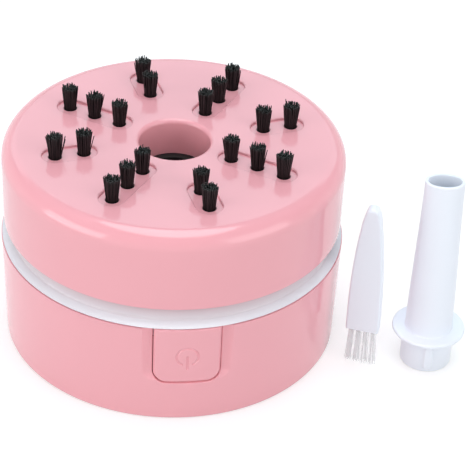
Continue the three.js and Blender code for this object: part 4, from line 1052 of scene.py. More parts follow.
def button_skin():
    """The button as loops round its press point: the face, its rounded edge, the plate, flange and stem."""
    button, housing = chosen("button"), chosen("housing")
    press = np.array([0, RIM_HEIGHT - button.press_drop])
    edge = button.edge
    flange_top = DECK_BOTTOM - button.flange_drop
    flange_front = housing.wall + WALL_GAP
    flange_back = flange_front + button.flange
    face_edge = button_loop(-edge, RIM_HEIGHT - edge)
    bearing = np.arctan2(face_edge[:, 1] - press[1], face_edge[:, 0])

    def circle(radius):
        return press + radius * np.stack([np.cos(bearing), np.sin(bearing)], axis=-1)

    core = button.symbol_bar + button.symbol_line * 3 / 2
    middle = np.stack([circle(radius) for radius in np.linspace(0, core, SYMBOL_ROWS + 1)])
    outer = between(circle(core), face_edge, FACE_ROWS)[1:]
    bend = quarter(EDGE_STEPS)
    rounding = np.stack([button_loop(-inset, RIM_HEIGHT - inset) for inset in edge * (1 - np.sin(bend))])
    neck = button_loop(-button.neck_inset, flange_top)
    flange = button_loop(button.flange_margin, flange_top)
    plate = button_loop(button.shelf, RIM_HEIGHT)
    loops = [(plate, edge + button.shelf), (plate, button.plate), (neck, button.plate), (neck, flange_front),
             (flange, flange_front), (flange, flange_back), (circle(button.stem_radius), flange_back)]
    rows = np.concatenate([middle, outer, rounding, *(loop[None] for loop, _ in loops)])
    depths = np.concatenate([np.zeros(len(middle) + len(outer)), edge * (1 - np.cos(bend)),
                             [depth for _, depth in loops]])[:, None]
    engraved = np.zeros(rows.shape[:2])
    engraved[:len(middle)] = symbol_dip(middle[..., 0], middle[..., 1])
    points = on_wall(rows[..., 0], rows[..., 1], depths + engraved)
    stem_end = STEM_END - button.stem_gap
    stem = np.stack([np.insert(circle(radius), 1, stem_end, axis=1) for radius in (button.stem_radius, 0)])
    skin = Skin()
    skin.grid(np.concatenate([points, stem]))
    return skin


class VACUUM_OT_button(bpy.types.Operator):
    """Builds the power button with its sunk symbol"""
    bl_idname = "vacuum.button"
    bl_label = "Power Button"

    def execute(self, context):
        finished("power_button_cap", button_skin(), "button", "pink_plastic", "power_button")
        return {"FINISHED"}


# Middle frame and its ring seal

DECK_RINGS, DECK_SLOTS = 4, 6


def band_skin():
    """The band, the deck and the spigot as one profile carried round the axis."""
    band = chosen("band")
    edge = band.edge
    foot, top = RIM_HEIGHT + band.gap, HEAD_FOOT - band.gap
    outer = RIM_RADIUS - band.inset
    spigot, bore = band.spigot_radius, band.spigot_radius - band.wall
    deck_top = DECK_BOTTOM + band.deck
    cove_foot = foot + band.lip
    wall = outer - band.cove
    slope = np.degrees(np.arctan2(band.ledge, band.cove))
    centre = (wall + band.fillet, cove_foot + band.ledge + band.fillet)
    cove = [(outer, cove_foot), *arc(*centre, band.fillet, -90 - slope, -180, FILLET_STEPS), (wall, top)]
    groove_low, groove_high = RING_SEAL_MIDDLE - band.groove / 2, RING_SEAL_MIDDLE + band.groove / 2
    groove = [(spigot, groove_low), (spigot - band.groove_depth, groove_low),
              (spigot - band.groove_depth, groove_high), (spigot, groove_high)]
    profile = chain(
        line((band.deck_hole, DECK_BOTTOM), (spigot, DECK_BOTTOM), DECK_RINGS),
        line((spigot, DECK_BOTTOM), (spigot, foot)),
        line((spigot, foot), (outer - edge, foot)),
        arc(outer - edge, foot + edge, edge, -90, 0, BEND_STEPS),
        cove,
        line(cove[-1], (spigot, top)),
        line((spigot, top), groove[0]),
        groove,
        line(groove[-1], (spigot, SPIGOT_TOP - edge)),
        arc(spigot - edge, SPIGOT_TOP - edge, edge, 0, 90, BEND_STEPS),
        line((spigot - edge, SPIGOT_TOP), (bore + edge, SPIGOT_TOP)),
        arc(bore + edge, SPIGOT_TOP - edge, edge, 90, 180, BEND_STEPS),
        line((bore, SPIGOT_TOP - edge), (bore, deck_top)),
        line((bore, deck_top), (band.deck_hole, deck_top), DECK_RINGS),
        line((band.deck_hole, deck_top), (band.deck_hole, DECK_BOTTOM)),
    )
    solid, holes = Skin(), Skin()
    solid.grid(revolved(profile, full_circle(RING_COLUMNS)))
    inner = chosen("inner")
    below, above = DECK_BOTTOM - OVERRUN, deck_top + OVERRUN
    half_span = np.degrees(inner.slot_span) / 2
    for i in range(DECK_SLOTS):
        middle = (i + 0.5) * 360 / DECK_SLOTS
        ends = middle - half_span, middle + half_span
        add_prism(holes, ring_piece(inner.slot_inner, inner.slot_outer, *ends, SMALL_COLUMNS), below, above)
    for ring, bearings in ((inner.frame_ring, THIRDS), (inner.motor_ring, (-90, 90))):
        add_screw_holes(holes, ring, bearings, below, above)
    skin = carved(solid, holes)
    for degrees in THIRDS:
        add_boss(skin, polar(inner.cover_ring, degrees + 60), inner.boss, inner.hole, deck_top - SINK,
                 COVER_BOTTOM - inner.cover_gap, inner.bite)
    return skin


def ring_skin(profile, columns=RING_COLUMNS):
    """A closed profile carried round the axis."""
    skin = Skin()
    skin.grid(revolved(np.concatenate([profile, profile[:1]]), full_circle(columns)))
    return skin


class VACUUM_OT_band(bpy.types.Operator):
    """Builds the middle frame with its band, and its ring seal"""
    bl_idname = "vacuum.band"
    bl_label = "Band and Ring Seal"

    def execute(self, context):
        band = chosen("band")
        finished("middle_frame_band", band_skin(), "housing", "white_plastic", "middle_frame",
                 material=band_plastic_painted_shade())
        centre = (RING_SEAL_RADIUS - band.seal_radius, RING_SEAL_MIDDLE)
        section = arc(*centre, band.seal_radius, 0, 360, SMALL_COLUMNS)[:-1]
        finished("ring_seal_loop", ring_skin(section), "housing", "rubber", "ring_seal")
        return {"FINISHED"}


# Brush head

SLOTS = 8
TUFTS_IN_LONG_SLOT = 3
# The first slot and the number of slots of each tuft carrier
CARRIERS = [(0, 3), (3, 3), (6, 2)]
# Steps along a slot's round ends and straight sides, across a slot, and of rows on and under the face
SECTOR_ARC, SECTOR_SIDE, CROSS_STEPS = 40, 40, 16
SECTOR_ROWS, CEILING_ROWS = 3, 2
# Steps of the shoulder and of the port's lip, rows of the inner walls, and the seal's bore and edges
SHOULDER_STEPS, LIP_STEPS, WALL_ROWS = 24, 12, 4
SEAL_BORE, SEAL_EDGE = 6.35 * MM, 0.3 * MM


def slot_tufts(i):
    """Radii of the tufts in a slot: three in even slots, the outer two in odd ones."""
    head = chosen("head")
    radii = head.tuft_inner + head.tuft_pitch * np.arange(TUFTS_IN_LONG_SLOT)
    return radii if i % 2 == 0 else radii[1:]


def slot_turn(i):
    """Bearing of a slot from +X."""
    return chosen("head").turn + FULL_TURN * i / SLOTS


def stadium(start, end, radius):
    """A slot with round ends along X, anticlockwise from the upper end of its inner half circle."""
    return chain(
        arc(start, 0, radius, 90, 270, SECTOR_ARC),
        line((start, -radius), (end, -radius), SECTOR_SIDE),
        arc(end, 0, radius, -90, 90, SECTOR_ARC),
        line((end, radius), (start, radius), SECTOR_SIDE),
    )[:-1]


def sector(inner, outer):
    """An eighth of a ring round X, point for point like the slot inside it."""
    half = 180 / SLOTS
    return chain(
        arc(0, 0, inner, half, -half, SECTOR_ARC),
        line(polar(inner, -half), polar(outer, -half), SECTOR_SIDE),
        arc(0, 0, outer, -half, half, SECTOR_ARC),
        line(polar(outer, half), polar(inner, half), SECTOR_SIDE),
    )[:-1]


def tuft_cells(loop, tufts):
    """Splits a slot's loop into one closed cell round each tuft, with straight cuts halfway between them."""
    count = len(tufts)
    cut = SECTOR_SIDE // (2 * (count - 1))
    low, high = SECTOR_ARC, 2 * SECTOR_ARC + SECTOR_SIDE
    cells = []
    for k in range(count):
        start, end = max((2 * k - 1) * cut, 0), min((2 * k + 1) * cut, SECTOR_SIDE)
        lower = loop[low + start:low + end + 1]
        upper = np.take(loop, high + SECTOR_SIDE + np.arange(-end, 1 - start), axis=0, mode="wrap")
        right = loop[low + SECTOR_SIDE:high + 1] if k == count - 1 else line(lower[-1], upper[0], CROSS_STEPS)
        left = loop[:low + 1] if k == 0 else line(upper[-1], lower[0], CROSS_STEPS)
        cells.append(chain(lower, right, upper, left)[:-1])
    return cells


def add_face_sector(skin, i):
    """An eighth of the face: round its slot, over the slot's edge, through the tufts' holes and below."""
    head, tufts, turn = chosen("head"), slot_tufts(i), slot_turn(i)
    floor, ceiling, edge = FACE_HEIGHT - head.slot_depth, FACE_HEIGHT - head.face, head.slot_edge
    shoulder_radius = head.radius - head.shoulder

    def slot(margin):
        return stadium(tufts[0], tufts[-1], head.slot_radius + margin)

    face = between(sector(head.port_radius + head.port_lip, shoulder_radius), slot(edge), SECTOR_ROWS)
    rows = [raised(row, FACE_HEIGHT) for row in face]
    bend = quarter(EDGE_STEPS)
    rows += [raised(slot(edge * (1 - np.sin(a))), FACE_HEIGHT - edge * (1 - np.cos(a))) for a in bend]
    rows += [raised(slot(0), floor)]
    skin.grid(turned(np.stack(rows), turn))
    for cell, tuft in zip(tuft_cells(slot(0), tufts), tufts):
        bearing = np.arctan2(cell[:, 1], cell[:, 0] - tuft)
        hole = np.stack([tuft + head.tuft_hole * np.cos(bearing), head.tuft_hole * np.sin(bearing)], axis=-1)
        through = [raised(cell, floor), raised(hole, floor), raised(hole, ceiling), raised(cell, ceiling)]
        skin.grid(turned(np.stack(through), turn))
    under = between(slot(0), sector(head.port_radius + head.port_wall, shoulder_radius), CEILING_ROWS)
    skin.grid(turned(raised(under, ceiling), turn))


def retainer_bearings():
    """Bearings of the retainer's screws in degrees, each between two carriers."""
    start = np.degrees(chosen("head").turn)
    return [start + 360 / SLOTS * (first + count - 0.5) for first, count in CARRIERS]


def head_skin():
    """The head: eight slotted sectors of the face, joined by profiles carried round the axis."""
    head, inner, tufts = chosen("head"), chosen("inner"), chosen("tufts")
    skin = Skin()
    for i in range(SLOTS):
        add_face_sector(skin, i)
    angles = head.turn + full_circle(SLOTS * SECTOR_ARC) + np.pi / SLOTS
    for profile in (head_outside(), port_profile()):
        skin.grid(revolved(profile, angles))
    ceiling = FACE_HEIGHT - head.face
    depth = tufts.carrier_gap + tufts.carrier
    for bearing in retainer_bearings():
        place = polar(inner.retainer_ring, bearing)
        add_boss(skin, place, inner.boss, inner.hole, ceiling + SINK, ceiling - depth, depth)
    return skin


def head_outside():
    """The shoulder, the outer wall, the foot, the bore and the round below the ceiling, from the face on."""
    head = chosen("head")
    foot_radius, edge = head.radius - head.flare, head.foot_edge
    bore = foot_radius - head.wall
    shoulder_radius = head.radius - head.shoulder
    inner_round = head.shoulder - head.wall
    ceiling = FACE_HEIGHT - head.face
    return chain(
        arc(shoulder_radius, FACE_HEIGHT - head.shoulder, head.shoulder, 90, 0, SHOULDER_STEPS),
        line((head.radius, FACE_HEIGHT - head.shoulder), (foot_radius, HEAD_FOOT + edge), ROUND_STEPS),
        arc(foot_radius - edge, HEAD_FOOT + edge, edge, 0, -90, BEND_STEPS),
        line((foot_radius - edge, HEAD_FOOT), (bore, HEAD_FOOT)),
        line((bore, HEAD_FOOT), (shoulder_radius + inner_round, ceiling - inner_round), WALL_ROWS),
        arc(shoulder_radius, ceiling - inner_round, inner_round, 0, 90, FILLET_STEPS),
    )


def port_profile():
    """The port's lip, its wall, the ledge under the seal and the tube, from the face to the ceiling."""
    head = chosen("head")
    port, lip = head.port_radius, head.port_lip
    ledge_top = SEAL_BOTTOM - head.seal_gap
    tube_end = ledge_top - head.ledge_thickness
    ceiling = FACE_HEIGHT - head.face
    tube = port + head.port_wall
    return chain(
        arc(port + lip, FACE_HEIGHT - lip, lip, 90, 180, LIP_STEPS),
        line((port, FACE_HEIGHT - lip), (port, ledge_top), WALL_ROWS),
        line((port, ledge_top), (port - head.ledge, ledge_top)),
        line((port - head.ledge, ledge_top), (port - head.ledge, tube_end)),
        line((port - head.ledge, tube_end), (tube, tube_end)),
        line((tube, tube_end), (tube, ceiling), COARSE_STEPS),
    )


def port_seal_section():
    """The section of the seal in the port, with its edges rounded."""
    outer = span("port_seal")[1][0] - SEAL_EDGE
    inner = SEAL_BORE + SEAL_EDGE
    top, bottom = SEAL_TOP - SEAL_EDGE, SEAL_BOTTOM + SEAL_EDGE
    return chain(
        arc(outer, top, SEAL_EDGE, 0, 90, BEND_STEPS),
        arc(inner, top, SEAL_EDGE, 90, 180, ROUND_STEPS),
        arc(inner, bottom, SEAL_EDGE, 180, 270, ROUND_STEPS),
        arc(outer, bottom, SEAL_EDGE, 270, 360, BEND_STEPS),
    )


class VACUUM_OT_head(bpy.types.Operator):
    """Builds the brush head's shell and the seal in its port"""
    bl_idname = "vacuum.head"
    bl_label = "Brush Head"

    def execute(self, context):
        finished("brush_head_shell", head_skin(), "head", "pink_plastic", "brush_head")
        section = ring_skin(port_seal_section(), SMALL_RING_COLUMNS)
        finished("port_seal_ring", section, "head", "rubber", "port_seal")
        return {"FINISHED"}


# Bristle tufts

FILAMENT_SIDES, FILAMENT_RINGS = 5, 4
# How far the tips scatter, how far the filaments bow, how many stray and how much further those lean
TIP_SCATTER, FILAMENT_BOW = 0.11 * MM, 0.04 * MM
STRAY_SHARE, STRAY_LEAN = 0.04, 0.45
# Lowest and highest tip of a tuft, in parts of its raggedness
TIP_RANGE = (-1, 0.6)
# How far the roots and the tops of the posts lie below the slot's floor, and the rounding of a post
ROOT_DEPTH, POST_DEPTH, POST_EDGE = 0.3 * MM, 0.15 * MM, 0.12 * MM


def filaments(chance, roots, tips, bow, radius):
    """Thin rods from roots to tips, each bowed by a chance amount times four t times one less t."""
    count = len(roots)
    bows = np.column_stack([chance.normal(0, bow, (count, 2)), np.zeros(count)])
    around = chance.uniform(0, FULL_TURN, count)[:, None, None] + full_circle(FILAMENT_SIDES)
    t = np.linspace(0, 1, FILAMENT_RINGS)[None, :, None]
    spine = roots[:, None] * (1 - t) + tips[:, None] * t + bows[:, None] * 4 * t * (1 - t)
    ring = radius * np.stack([np.cos(around), np.sin(around), np.zeros_like(around)], axis=-1)
    return spine[:, :, None] + ring


def disc_places(count):
    """Places spread evenly over a unit disc: at the root of each one's share, a golden angle apart."""
    k = np.arange(count)
    radius = np.sqrt((k + 0.5) / count)
    return np.stack([radius * np.cos(k * GOLDEN_ANGLE), radius * np.sin(k * GOLDEN_ANGLE)], axis=-1)


def tuft_filaments(place, seed):
    """One tuft of the head: filaments spread over its post that lean outwards, a few of them astray."""
    tufts = chosen("tufts")
    chance = np.random.default_rng(seed)
    spots = disc_places(tufts.filaments)
    count = len(spots)
    root_height = FACE_HEIGHT - chosen("head").slot_depth - ROOT_DEPTH
    roots = np.column_stack([place + spots * tufts.base_radius, np.full(count, root_height)])
    lean = spots * tufts.tip_radius + chance.normal(0, TIP_SCATTER, (count, 2))
    stray = chance.random(count) < STRAY_SHARE
    lean[stray] *= 1 + STRAY_LEAN * chance.random((stray.sum(), 1))
    rise = FACE_HEIGHT + tufts.height + chance.uniform(*TIP_RANGE, count) * tufts.ragged
    rise[stray] -= chance.random(stray.sum()) * 2 * tufts.ragged
    return filaments(chance, roots, np.column_stack([place + lean, rise]), FILAMENT_BOW, tufts.filament)


def tuft_places(i):
    """The tufts of one slot as places in X and Y."""
    turn = slot_turn(i)
    return slot_tufts(i)[:, None] * np.array([np.cos(turn), np.sin(turn)])


def add_post(skin, place, radius, bottom, top):
    """A round post as a stack of discs, closed at both ends, with its upper edge rounded."""
    side, level = radius - POST_EDGE, top - POST_EDGE
    profile = chain(line((0, bottom), (radius, bottom)), line((radius, bottom), (radius, level)),
                    arc(side, level, POST_EDGE, 0, 90, COARSE_STEPS), line((side, top), (0, top)))
    skin.grid(revolved(profile, full_circle(SMALL_COLUMNS)) + np.array([*place, 0]))


def carrier_skin(first, count):
    """Tufts on their posts, a bar under each slot, and the curved strip that joins the bars."""
    tufts, head = chosen("tufts"), chosen("head")
    skin = Skin()
    top = FACE_HEIGHT - head.face - tufts.carrier_gap
    bottom = top - tufts.carrier
    post_top = FACE_HEIGHT - head.slot_depth - POST_DEPTH
    for i in range(first, first + count):
        radii = slot_tufts(i)
        bar = stadium(radii[0], radii[-1], tufts.carrier_width / 2)
        rows = capped(bar, (radii.mean(), 0), bottom, top)
        skin.grid(turned(rows, slot_turn(i)))
        for k, place in enumerate(tuft_places(i)):
            add_post(skin, place, tufts.post_radius, top - tufts.carrier / 2, post_top)
            skin.rods(tuft_filaments(place, TUFTS_IN_LONG_SLOT * i + k))
    middle, half = slot_tufts(1).mean(), tufts.carrier_width / 2
    start, end = [np.degrees(head.turn) + 360 / SLOTS * i for i in (first, first + count - 1)]
    strip = ring_piece(middle - half, middle + half, start, end, SMALL_COLUMNS * count)
    add_prism(skin, strip, bottom + FACE_INSET, top - FACE_INSET)
    return skin


class VACUUM_OT_tufts(bpy.types.Operator):
    """Builds the head's bristle tufts on their three carriers"""
    bl_idname = "vacuum.tufts"
    bl_label = "Bristle Tufts"

    def execute(self, context):
        for i, (first, count) in enumerate(CARRIERS):
            finished(f"bristle_tufts_{i + 1}", carrier_skin(first, count), "head", "black_bristle",
                     f"head_tufts_{i + 1}")
        return {"FINISHED"}


# Crevice nozzle

NOZZLE_COLUMNS, COLLAR_ROWS, TUBE_ROWS = 288, 72, 40
# Straight part of the flange's edge to either side of its middle, and the slope at the foot of the rib
FLANGE_FLAT, RIB_EASE = 0.05 * MM, 0.15 * MM


def nozzle_rows():
    """Rows of [height, half width, half depth] from the collar's mouth up the outside and down the inside."""
    nozzle = chosen("nozzle")
    edge, wall, collar_top = nozzle.edge, nozzle.wall, nozzle.collar_length
    collar, tube = nozzle.collar_radius, nozzle.tube_radius
    top = collar_top + nozzle.flange
    flange_edge = nozzle.flange / 2 - FLANGE_FLAT
    rim = nozzle.flange_radius - flange_edge
    outside = chain(
        arc(collar - edge, edge, edge, -90, 0, EDGE_STEPS),
        line((collar, edge), (collar, collar_top - edge), COLLAR_ROWS),
        arc(collar + edge, collar_top - edge, edge, 180, 90, EDGE_STEPS),
        line((collar + edge, collar_top), (rim, collar_top), 2),
        arc(rim, collar_top + flange_edge, flange_edge, -90, 0, ROUND_STEPS),
        arc(rim, top - flange_edge, flange_edge, 0, 90, ROUND_STEPS),
        line((rim, top), (tube + edge, top), 2),
        arc(tube + edge, top + edge, edge, 270, 180, EDGE_STEPS),
    )
    rings = np.column_stack([outside[:, 1], outside[:, 0], outside[:, 0]])
    share = np.linspace(0, 1, TUBE_ROWS + 1)

    def tube_rows(z, inset):
        eased = smooth_step((z - top) / (NOZZLE_LENGTH - top))
        half_width = tube + (nozzle.tip_width / 2 - tube) * eased - inset
        half_depth = tube + (nozzle.tip_depth / 2 - tube) * eased - inset
        return np.column_stack([z, half_width, half_depth])

    rise = top + edge + (NOZZLE_LENGTH - top - 2 * edge) * share[1:]
    bend = quarter(ROUND_STEPS)
    inner_edge = wall / 4
    mouth = np.array([[0, collar - wall, collar - wall]])
    return np.concatenate([
        rings,
        tube_rows(rise, 0),
        tube_rows(NOZZLE_LENGTH - edge * (1 - np.sin(bend)), edge * (1 - np.cos(bend))),
        tube_rows(NOZZLE_LENGTH - inner_edge * (1 - np.cos(bend)), wall - inner_edge * (1 - np.sin(bend))),
        tube_rows(top + (NOZZLE_LENGTH - inner_edge - top) * share[-2::-1], wall),
        mouth,
    ])


def rib_rise(x, z):
    """How far the rib stands out of the collar: the distance to its middle line, eased at its edge."""
    nozzle = chosen("nozzle")
    half = nozzle.rib_width / 2
    low, high = nozzle.rib_inset + half, nozzle.collar_length - nozzle.rib_inset - half
    away = np.hypot(x, z - np.clip(z, low, high))
    return nozzle.rib_proud * smooth_step((half + RIB_EASE - away) / (2 * RIB_EASE))


def nozzle_skin():
    """The nozzle: oval rings joined in a closed tube, with the rib raised on the front of the collar."""
    nozzle = chosen("nozzle")
    rows = nozzle_rows()
    around = full_circle(NOZZLE_COLUMNS)
    x = rows[:, 1, None] * np.cos(around)
    y = rows[:, 2, None] * np.sin(around)
    z = np.broadcast_to(rows[:, 0, None], x.shape)
    outside = np.hypot(x, y) > nozzle.collar_radius - nozzle.wall / 4
    y = y - np.where(outside & (y < 0) & (z < nozzle.collar_length), rib_rise(x, z), 0)
    skin = Skin()
    points = placed(np.stack([x, y, z], axis=-1), NOZZLE_PLACE, nozzle.turn)
    skin.grid(np.concatenate([points, points[:1]]))
    return skin


class VACUUM_OT_nozzle(bpy.types.Operator):
    """Builds the crevice nozzle"""
    bl_idname = "vacuum.nozzle"
    bl_label = "Crevice Nozzle"

    def execute(self, context):
        finished("crevice_nozzle_tube", nozzle_skin(), "nozzle", "white_plastic", "crevice_nozzle")
        return {"FINISHED"}


# Cleaning brush

HANDLE_KNOT_SHARES = [0, 0.2, 0.4, 0.6, 0.8, 0.95, 1]
HANDLE_WIDTH_SHARES = [1, 0.99, 0.94, 0.83, 0.64, 0.42, 0.26]
# Steps of the handle's outline across, in depth and round half a corner, and its rows
HANDLE_ACROSS, HANDLE_DEEP, HANDLE_CORNER, HANDLE_ROWS = 44, 20, 4, 60
# Roundings at its foot and tip, how far the tip's rounding goes in, and the corner of its slot
HANDLE_FOOT, HANDLE_TIP, TIP_INSET, SLOT_CORNER = 0.35 * MM, 0.9 * MM, 0.765 * MM, 0.15 * MM
# Largest corner of a row, as a share of its half width or half depth
CORNER_LIMIT = 0.9
# The strip's gap in the slot, its corners and the steps of its outline
STRIP_GAP, STRIP_CORNER, STRIP_STEPS = 0.3 * MM, 0.1 * MM, (12, 8, 2)
# The cleaning filaments: how far their tips scatter, how far they bow, and the millimetres below their tips
CLEANING_SEED = 7
CLEANING_SCATTER, CLEANING_BOW, CLEANING_TIPS = 0.12 * MM, 0.05 * MM, (0.02, 0.45)


def handle_skin():
    """The handle: rounded rectangles stacked from its slot to its narrow tip."""
    brush = chosen("brush")
    half, thick = brush.width / 2, brush.thickness / 2
    slot_half = brush.tuft_radius + brush.strip_margin + STRIP_GAP
    slot_top = HANDLE_BOTTOM + brush.strip + STRIP_GAP
    steps = HANDLE_ACROSS, HANDLE_DEEP, HANDLE_CORNER
    bend = quarter(ROUND_STEPS)

    def loop(z, inset):
        share = (z - HANDLE_BOTTOM) / (HANDLE_TOP - HANDLE_BOTTOM)
        width = half * smooth_through(share, HANDLE_KNOT_SHARES, HANDLE_WIDTH_SHARES) - inset
        depth = thick - inset
        corner = min(brush.corner, CORNER_LIMIT * min(width, depth))
        return raised(rounded_loop(width, depth, corner, *steps), z)

    slot = rounded_loop(brush.slot_width / 2, slot_half, SLOT_CORNER, *steps)
    middle = np.zeros_like(slot)
    rows = [raised(middle, slot_top), raised(slot, slot_top), raised(slot, HANDLE_BOTTOM)]
    rows += [loop(HANDLE_BOTTOM, HANDLE_FOOT)]
    rows += [loop(HANDLE_BOTTOM + HANDLE_FOOT * (1 - np.cos(a)), HANDLE_FOOT * (1 - np.sin(a))) for a in bend]
    heights = np.linspace(HANDLE_BOTTOM + HANDLE_FOOT, HANDLE_TOP - HANDLE_TIP, HANDLE_ROWS)
    rows += [loop(z, 0) for z in heights[1:]]
    rows += [loop(HANDLE_TOP - HANDLE_TIP * (1 - np.sin(a)), TIP_INSET * (1 - np.cos(a))) for a in bend]
    rows += [raised(middle, HANDLE_TOP)]
    skin = Skin()
    skin.grid(placed(np.stack(rows), HANDLE_PLACE, brush.turn))
    return skin


def cleaning_skin():
    """The strip and its tufts of fine filaments, which hang to just above the floor."""
    brush = chosen("brush")
    skin = Skin()
    outer = (brush.tufts - 1) / 2
    half_depth = brush.tuft_radius + brush.strip_margin
    outline = rounded_loop(outer * brush.tuft_pitch + half_depth, half_depth, STRIP_CORNER, *STRIP_STEPS)
    strip = capped(outline, (0, 0), HANDLE_BOTTOM, HANDLE_BOTTOM + brush.strip)
    skin.grid(placed(strip, HANDLE_PLACE, brush.turn))
    chance = np.random.default_rng(CLEANING_SEED)
    spots = disc_places(brush.filaments)
    count = len(spots)
    for place in np.arange(brush.tufts) - outer:
        roots = np.column_stack([spots * brush.tuft_radius, np.full(count, HANDLE_BOTTOM + brush.strip / 4)])
        roots[:, 0] += place * brush.tuft_pitch
        reach = spots * brush.tuft_splay + chance.normal(0, CLEANING_SCATTER, (count, 2))
        tips = np.column_stack([reach, chance.uniform(*CLEANING_TIPS, count) * MM])
        tips[:, 0] += place * (brush.tuft_pitch + brush.tuft_flare)
        rods = filaments(chance, roots, tips, CLEANING_BOW, brush.filament)
        skin.rods(placed(rods, HANDLE_PLACE, brush.turn))
    return skin


class VACUUM_OT_brush(bpy.types.Operator):
    """Builds the cleaning brush: its handle and its bristles"""
    bl_idname = "vacuum.brush"
    bl_label = "Cleaning Brush"

    def execute(self, context):
        finished("brush_handle_blade", handle_skin(), "brush", "white_plastic", "brush_handle")
        finished("cleaning_bristles", cleaning_skin(), "brush", "clear_bristle", "cleaning_tufts")
        return {"FINISHED"}


# Fan cover, filter, retainer and impeller

BLADE_STEPS = 32
# The foam pad: its rings, its soft edge, the width of its pores and how deep they are
PAD_RINGS = 60
PAD_EDGE, PAD_PORE, PAD_WAVER = 0.4 * MM, 1.3 * MM, 0.12 * MM


def softened(loop, edge):
    """A closed [radius, height] loop with each square corner cut back by the edge to a short slope."""
    points = []
    loop = np.array(loop)
    for before, corner, after in zip(np.roll(loop, 1, axis=0), loop, np.roll(loop, -1, axis=0)):
        for other in (before, after):
            away = other - corner
            points.append(corner + away / np.hypot(*away) * edge)
    return np.array(points)


def add_spokes(skin, count, inner_radius, outer_radius, width, bottom, top):
    """Straight spokes from the hub to the ring."""
    spoke = box_loop(inner_radius, outer_radius, -width / 2, width / 2)
    for turn in full_circle(count):
        add_prism(skin, turned(spoke, turn), bottom + FACE_INSET, top - FACE_INSET)


def with_screw_holes(loop, bearings, ring, low, high):
    """A ring of the loop's section, with a round hole for a screw at each bearing in degrees."""
    holes = Skin()
    add_screw_holes(holes, ring, bearings, low - OVERRUN, high + OVERRUN)
    return carved(ring_skin(loop), holes)


def cover_skin():
    """The fan cover: a plate with the inlet, its hub and spokes, and a low ring that locates the filter."""
    fan, inner = chosen("fan"), chosen("inner")
    low, high = span("fan_cover")
    bottom, top, rim = low[2], low[2] + fan.cover, high[0]
    locator = span("filter_frame")[1][0] + fan.filter_gap
    loop = [(fan.inlet, bottom), (rim, bottom), (rim, top), (locator + fan.locator, top),
            (locator + fan.locator, high[2]), (locator, high[2]), (locator, top), (fan.inlet, top)]
    skin = with_screw_holes(softened(loop, fan.edge), THIRDS + 60, inner.cover_ring, bottom, top)
    hub = softened_disc(fan.inlet_hub, bottom, top, fan.edge)
    skin.grid(revolved(hub, full_circle(BOSS_COLUMNS)))
    add_spokes(skin, fan.inlet_spokes, fan.inlet_hub - SINK, fan.inlet + SINK, fan.inlet_spoke, bottom, top)
    return skin


def softened_disc(radius, bottom, top, edge):
    """The [radius, height] profile of a disc with its edges sloped."""
    return np.array([(0, bottom), (radius - edge, bottom), (radius, bottom + edge), (radius, top - edge),
                     (radius - edge, top), (0, top)])


def filter_skin():
    """The filter's frame: a ring with spokes and a hub at its foot."""
    fan = chosen("fan")
    low, high = span("filter_frame")
    bottom, top, rim = low[2], high[2], high[0]
    bore = rim - fan.filter_wall
    skin = ring_skin(softened(box_loop(bore, rim, bottom, top), fan.edge))
    floor = bottom + fan.filter_floor
    hub = softened_disc(fan.filter_hub, bottom, floor, fan.edge)
    skin.grid(revolved(hub, full_circle(HUB_COLUMNS)))
    add_spokes(skin, fan.filter_spokes, fan.filter_hub - SINK, bore + SINK, fan.filter_spoke, bottom, floor)
    return skin


def pad_skin():
    """The foam pad: a disc whose height wavers by sines of its place, with a soft edge."""
    low, high = span("filter_pad")
    rim = high[0]
    flat = np.linspace(0, rim - PAD_EDGE, PAD_RINGS)
    bend = quarter(BEND_STEPS)
    radius = np.concatenate([flat, rim - PAD_EDGE * (1 - np.sin(bend))])[:, None]
    drop = np.concatenate([np.zeros(len(flat)), PAD_EDGE * (1 - np.cos(bend))])[:, None]
    angles = full_circle(SMALL_RING_COLUMNS)
    x, y = radius * np.cos(angles), radius * np.sin(angles)
    waver = 0.5 + 0.25 * (np.sin(x / PAD_PORE) * np.sin(y / PAD_PORE) + np.sin((x + y) / (0.6 * PAD_PORE)))
    dip = drop + PAD_WAVER * waver * smooth_step((rim - np.hypot(x, y)) / MM)
    top, bottom = [np.stack([x, y, z], axis=-1) for z in (high[2] - dip, low[2] + dip)]
    skin = Skin()
    skin.grid(np.concatenate([top, bottom[::-1]]))
    return skin


def retainer_skin():
    """The ring under the tuft carriers, held by three screws."""
    head = chosen("head")
    low, high = span("tuft_retainer")
    bore = head.port_radius + head.port_wall + head.seal_gap
    loop = softened(box_loop(bore, high[0], low[2], high[2]), chosen("fan").edge)
    return with_screw_holes(loop, retainer_bearings(), chosen("inner").retainer_ring, low[2], high[2])


def impeller_skin():
    """The fan wheel: a plate, a hub and blades that fall back by the square of the way from eye to rim."""
    fan = chosen("fan")
    low, high = span("impeller")
    bottom, top, rim = low[2], high[2], high[0]
    plate = bottom + fan.plate
    loop = [(fan.bore, bottom), (rim, bottom), (rim, plate), (fan.hub, plate), (fan.hub, top),
            (fan.bore, top)]
    skin = ring_skin(softened(loop, fan.edge), SMALL_RING_COLUMNS)
    share = np.linspace(0, 1, BLADE_STEPS + 1)
    eye, tip = fan.hub + fan.eye, rim - fan.blade
    bearing = -fan.sweep * share ** 2
    spine = ((eye + (tip - eye) * share) * np.array([np.cos(bearing), np.sin(bearing)])).T
    along = np.gradient(spine, axis=0)
    across = np.stack([-along[:, 1], along[:, 0]], axis=-1) / np.hypot(*along.T)[:, None] * fan.blade / 2
    outline = np.concatenate([spine + across, (spine - across)[::-1]])
    for turn in full_circle(fan.blades):
        add_prism(skin, turned(outline, turn), plate - SINK, top - FACE_INSET)
    return skin


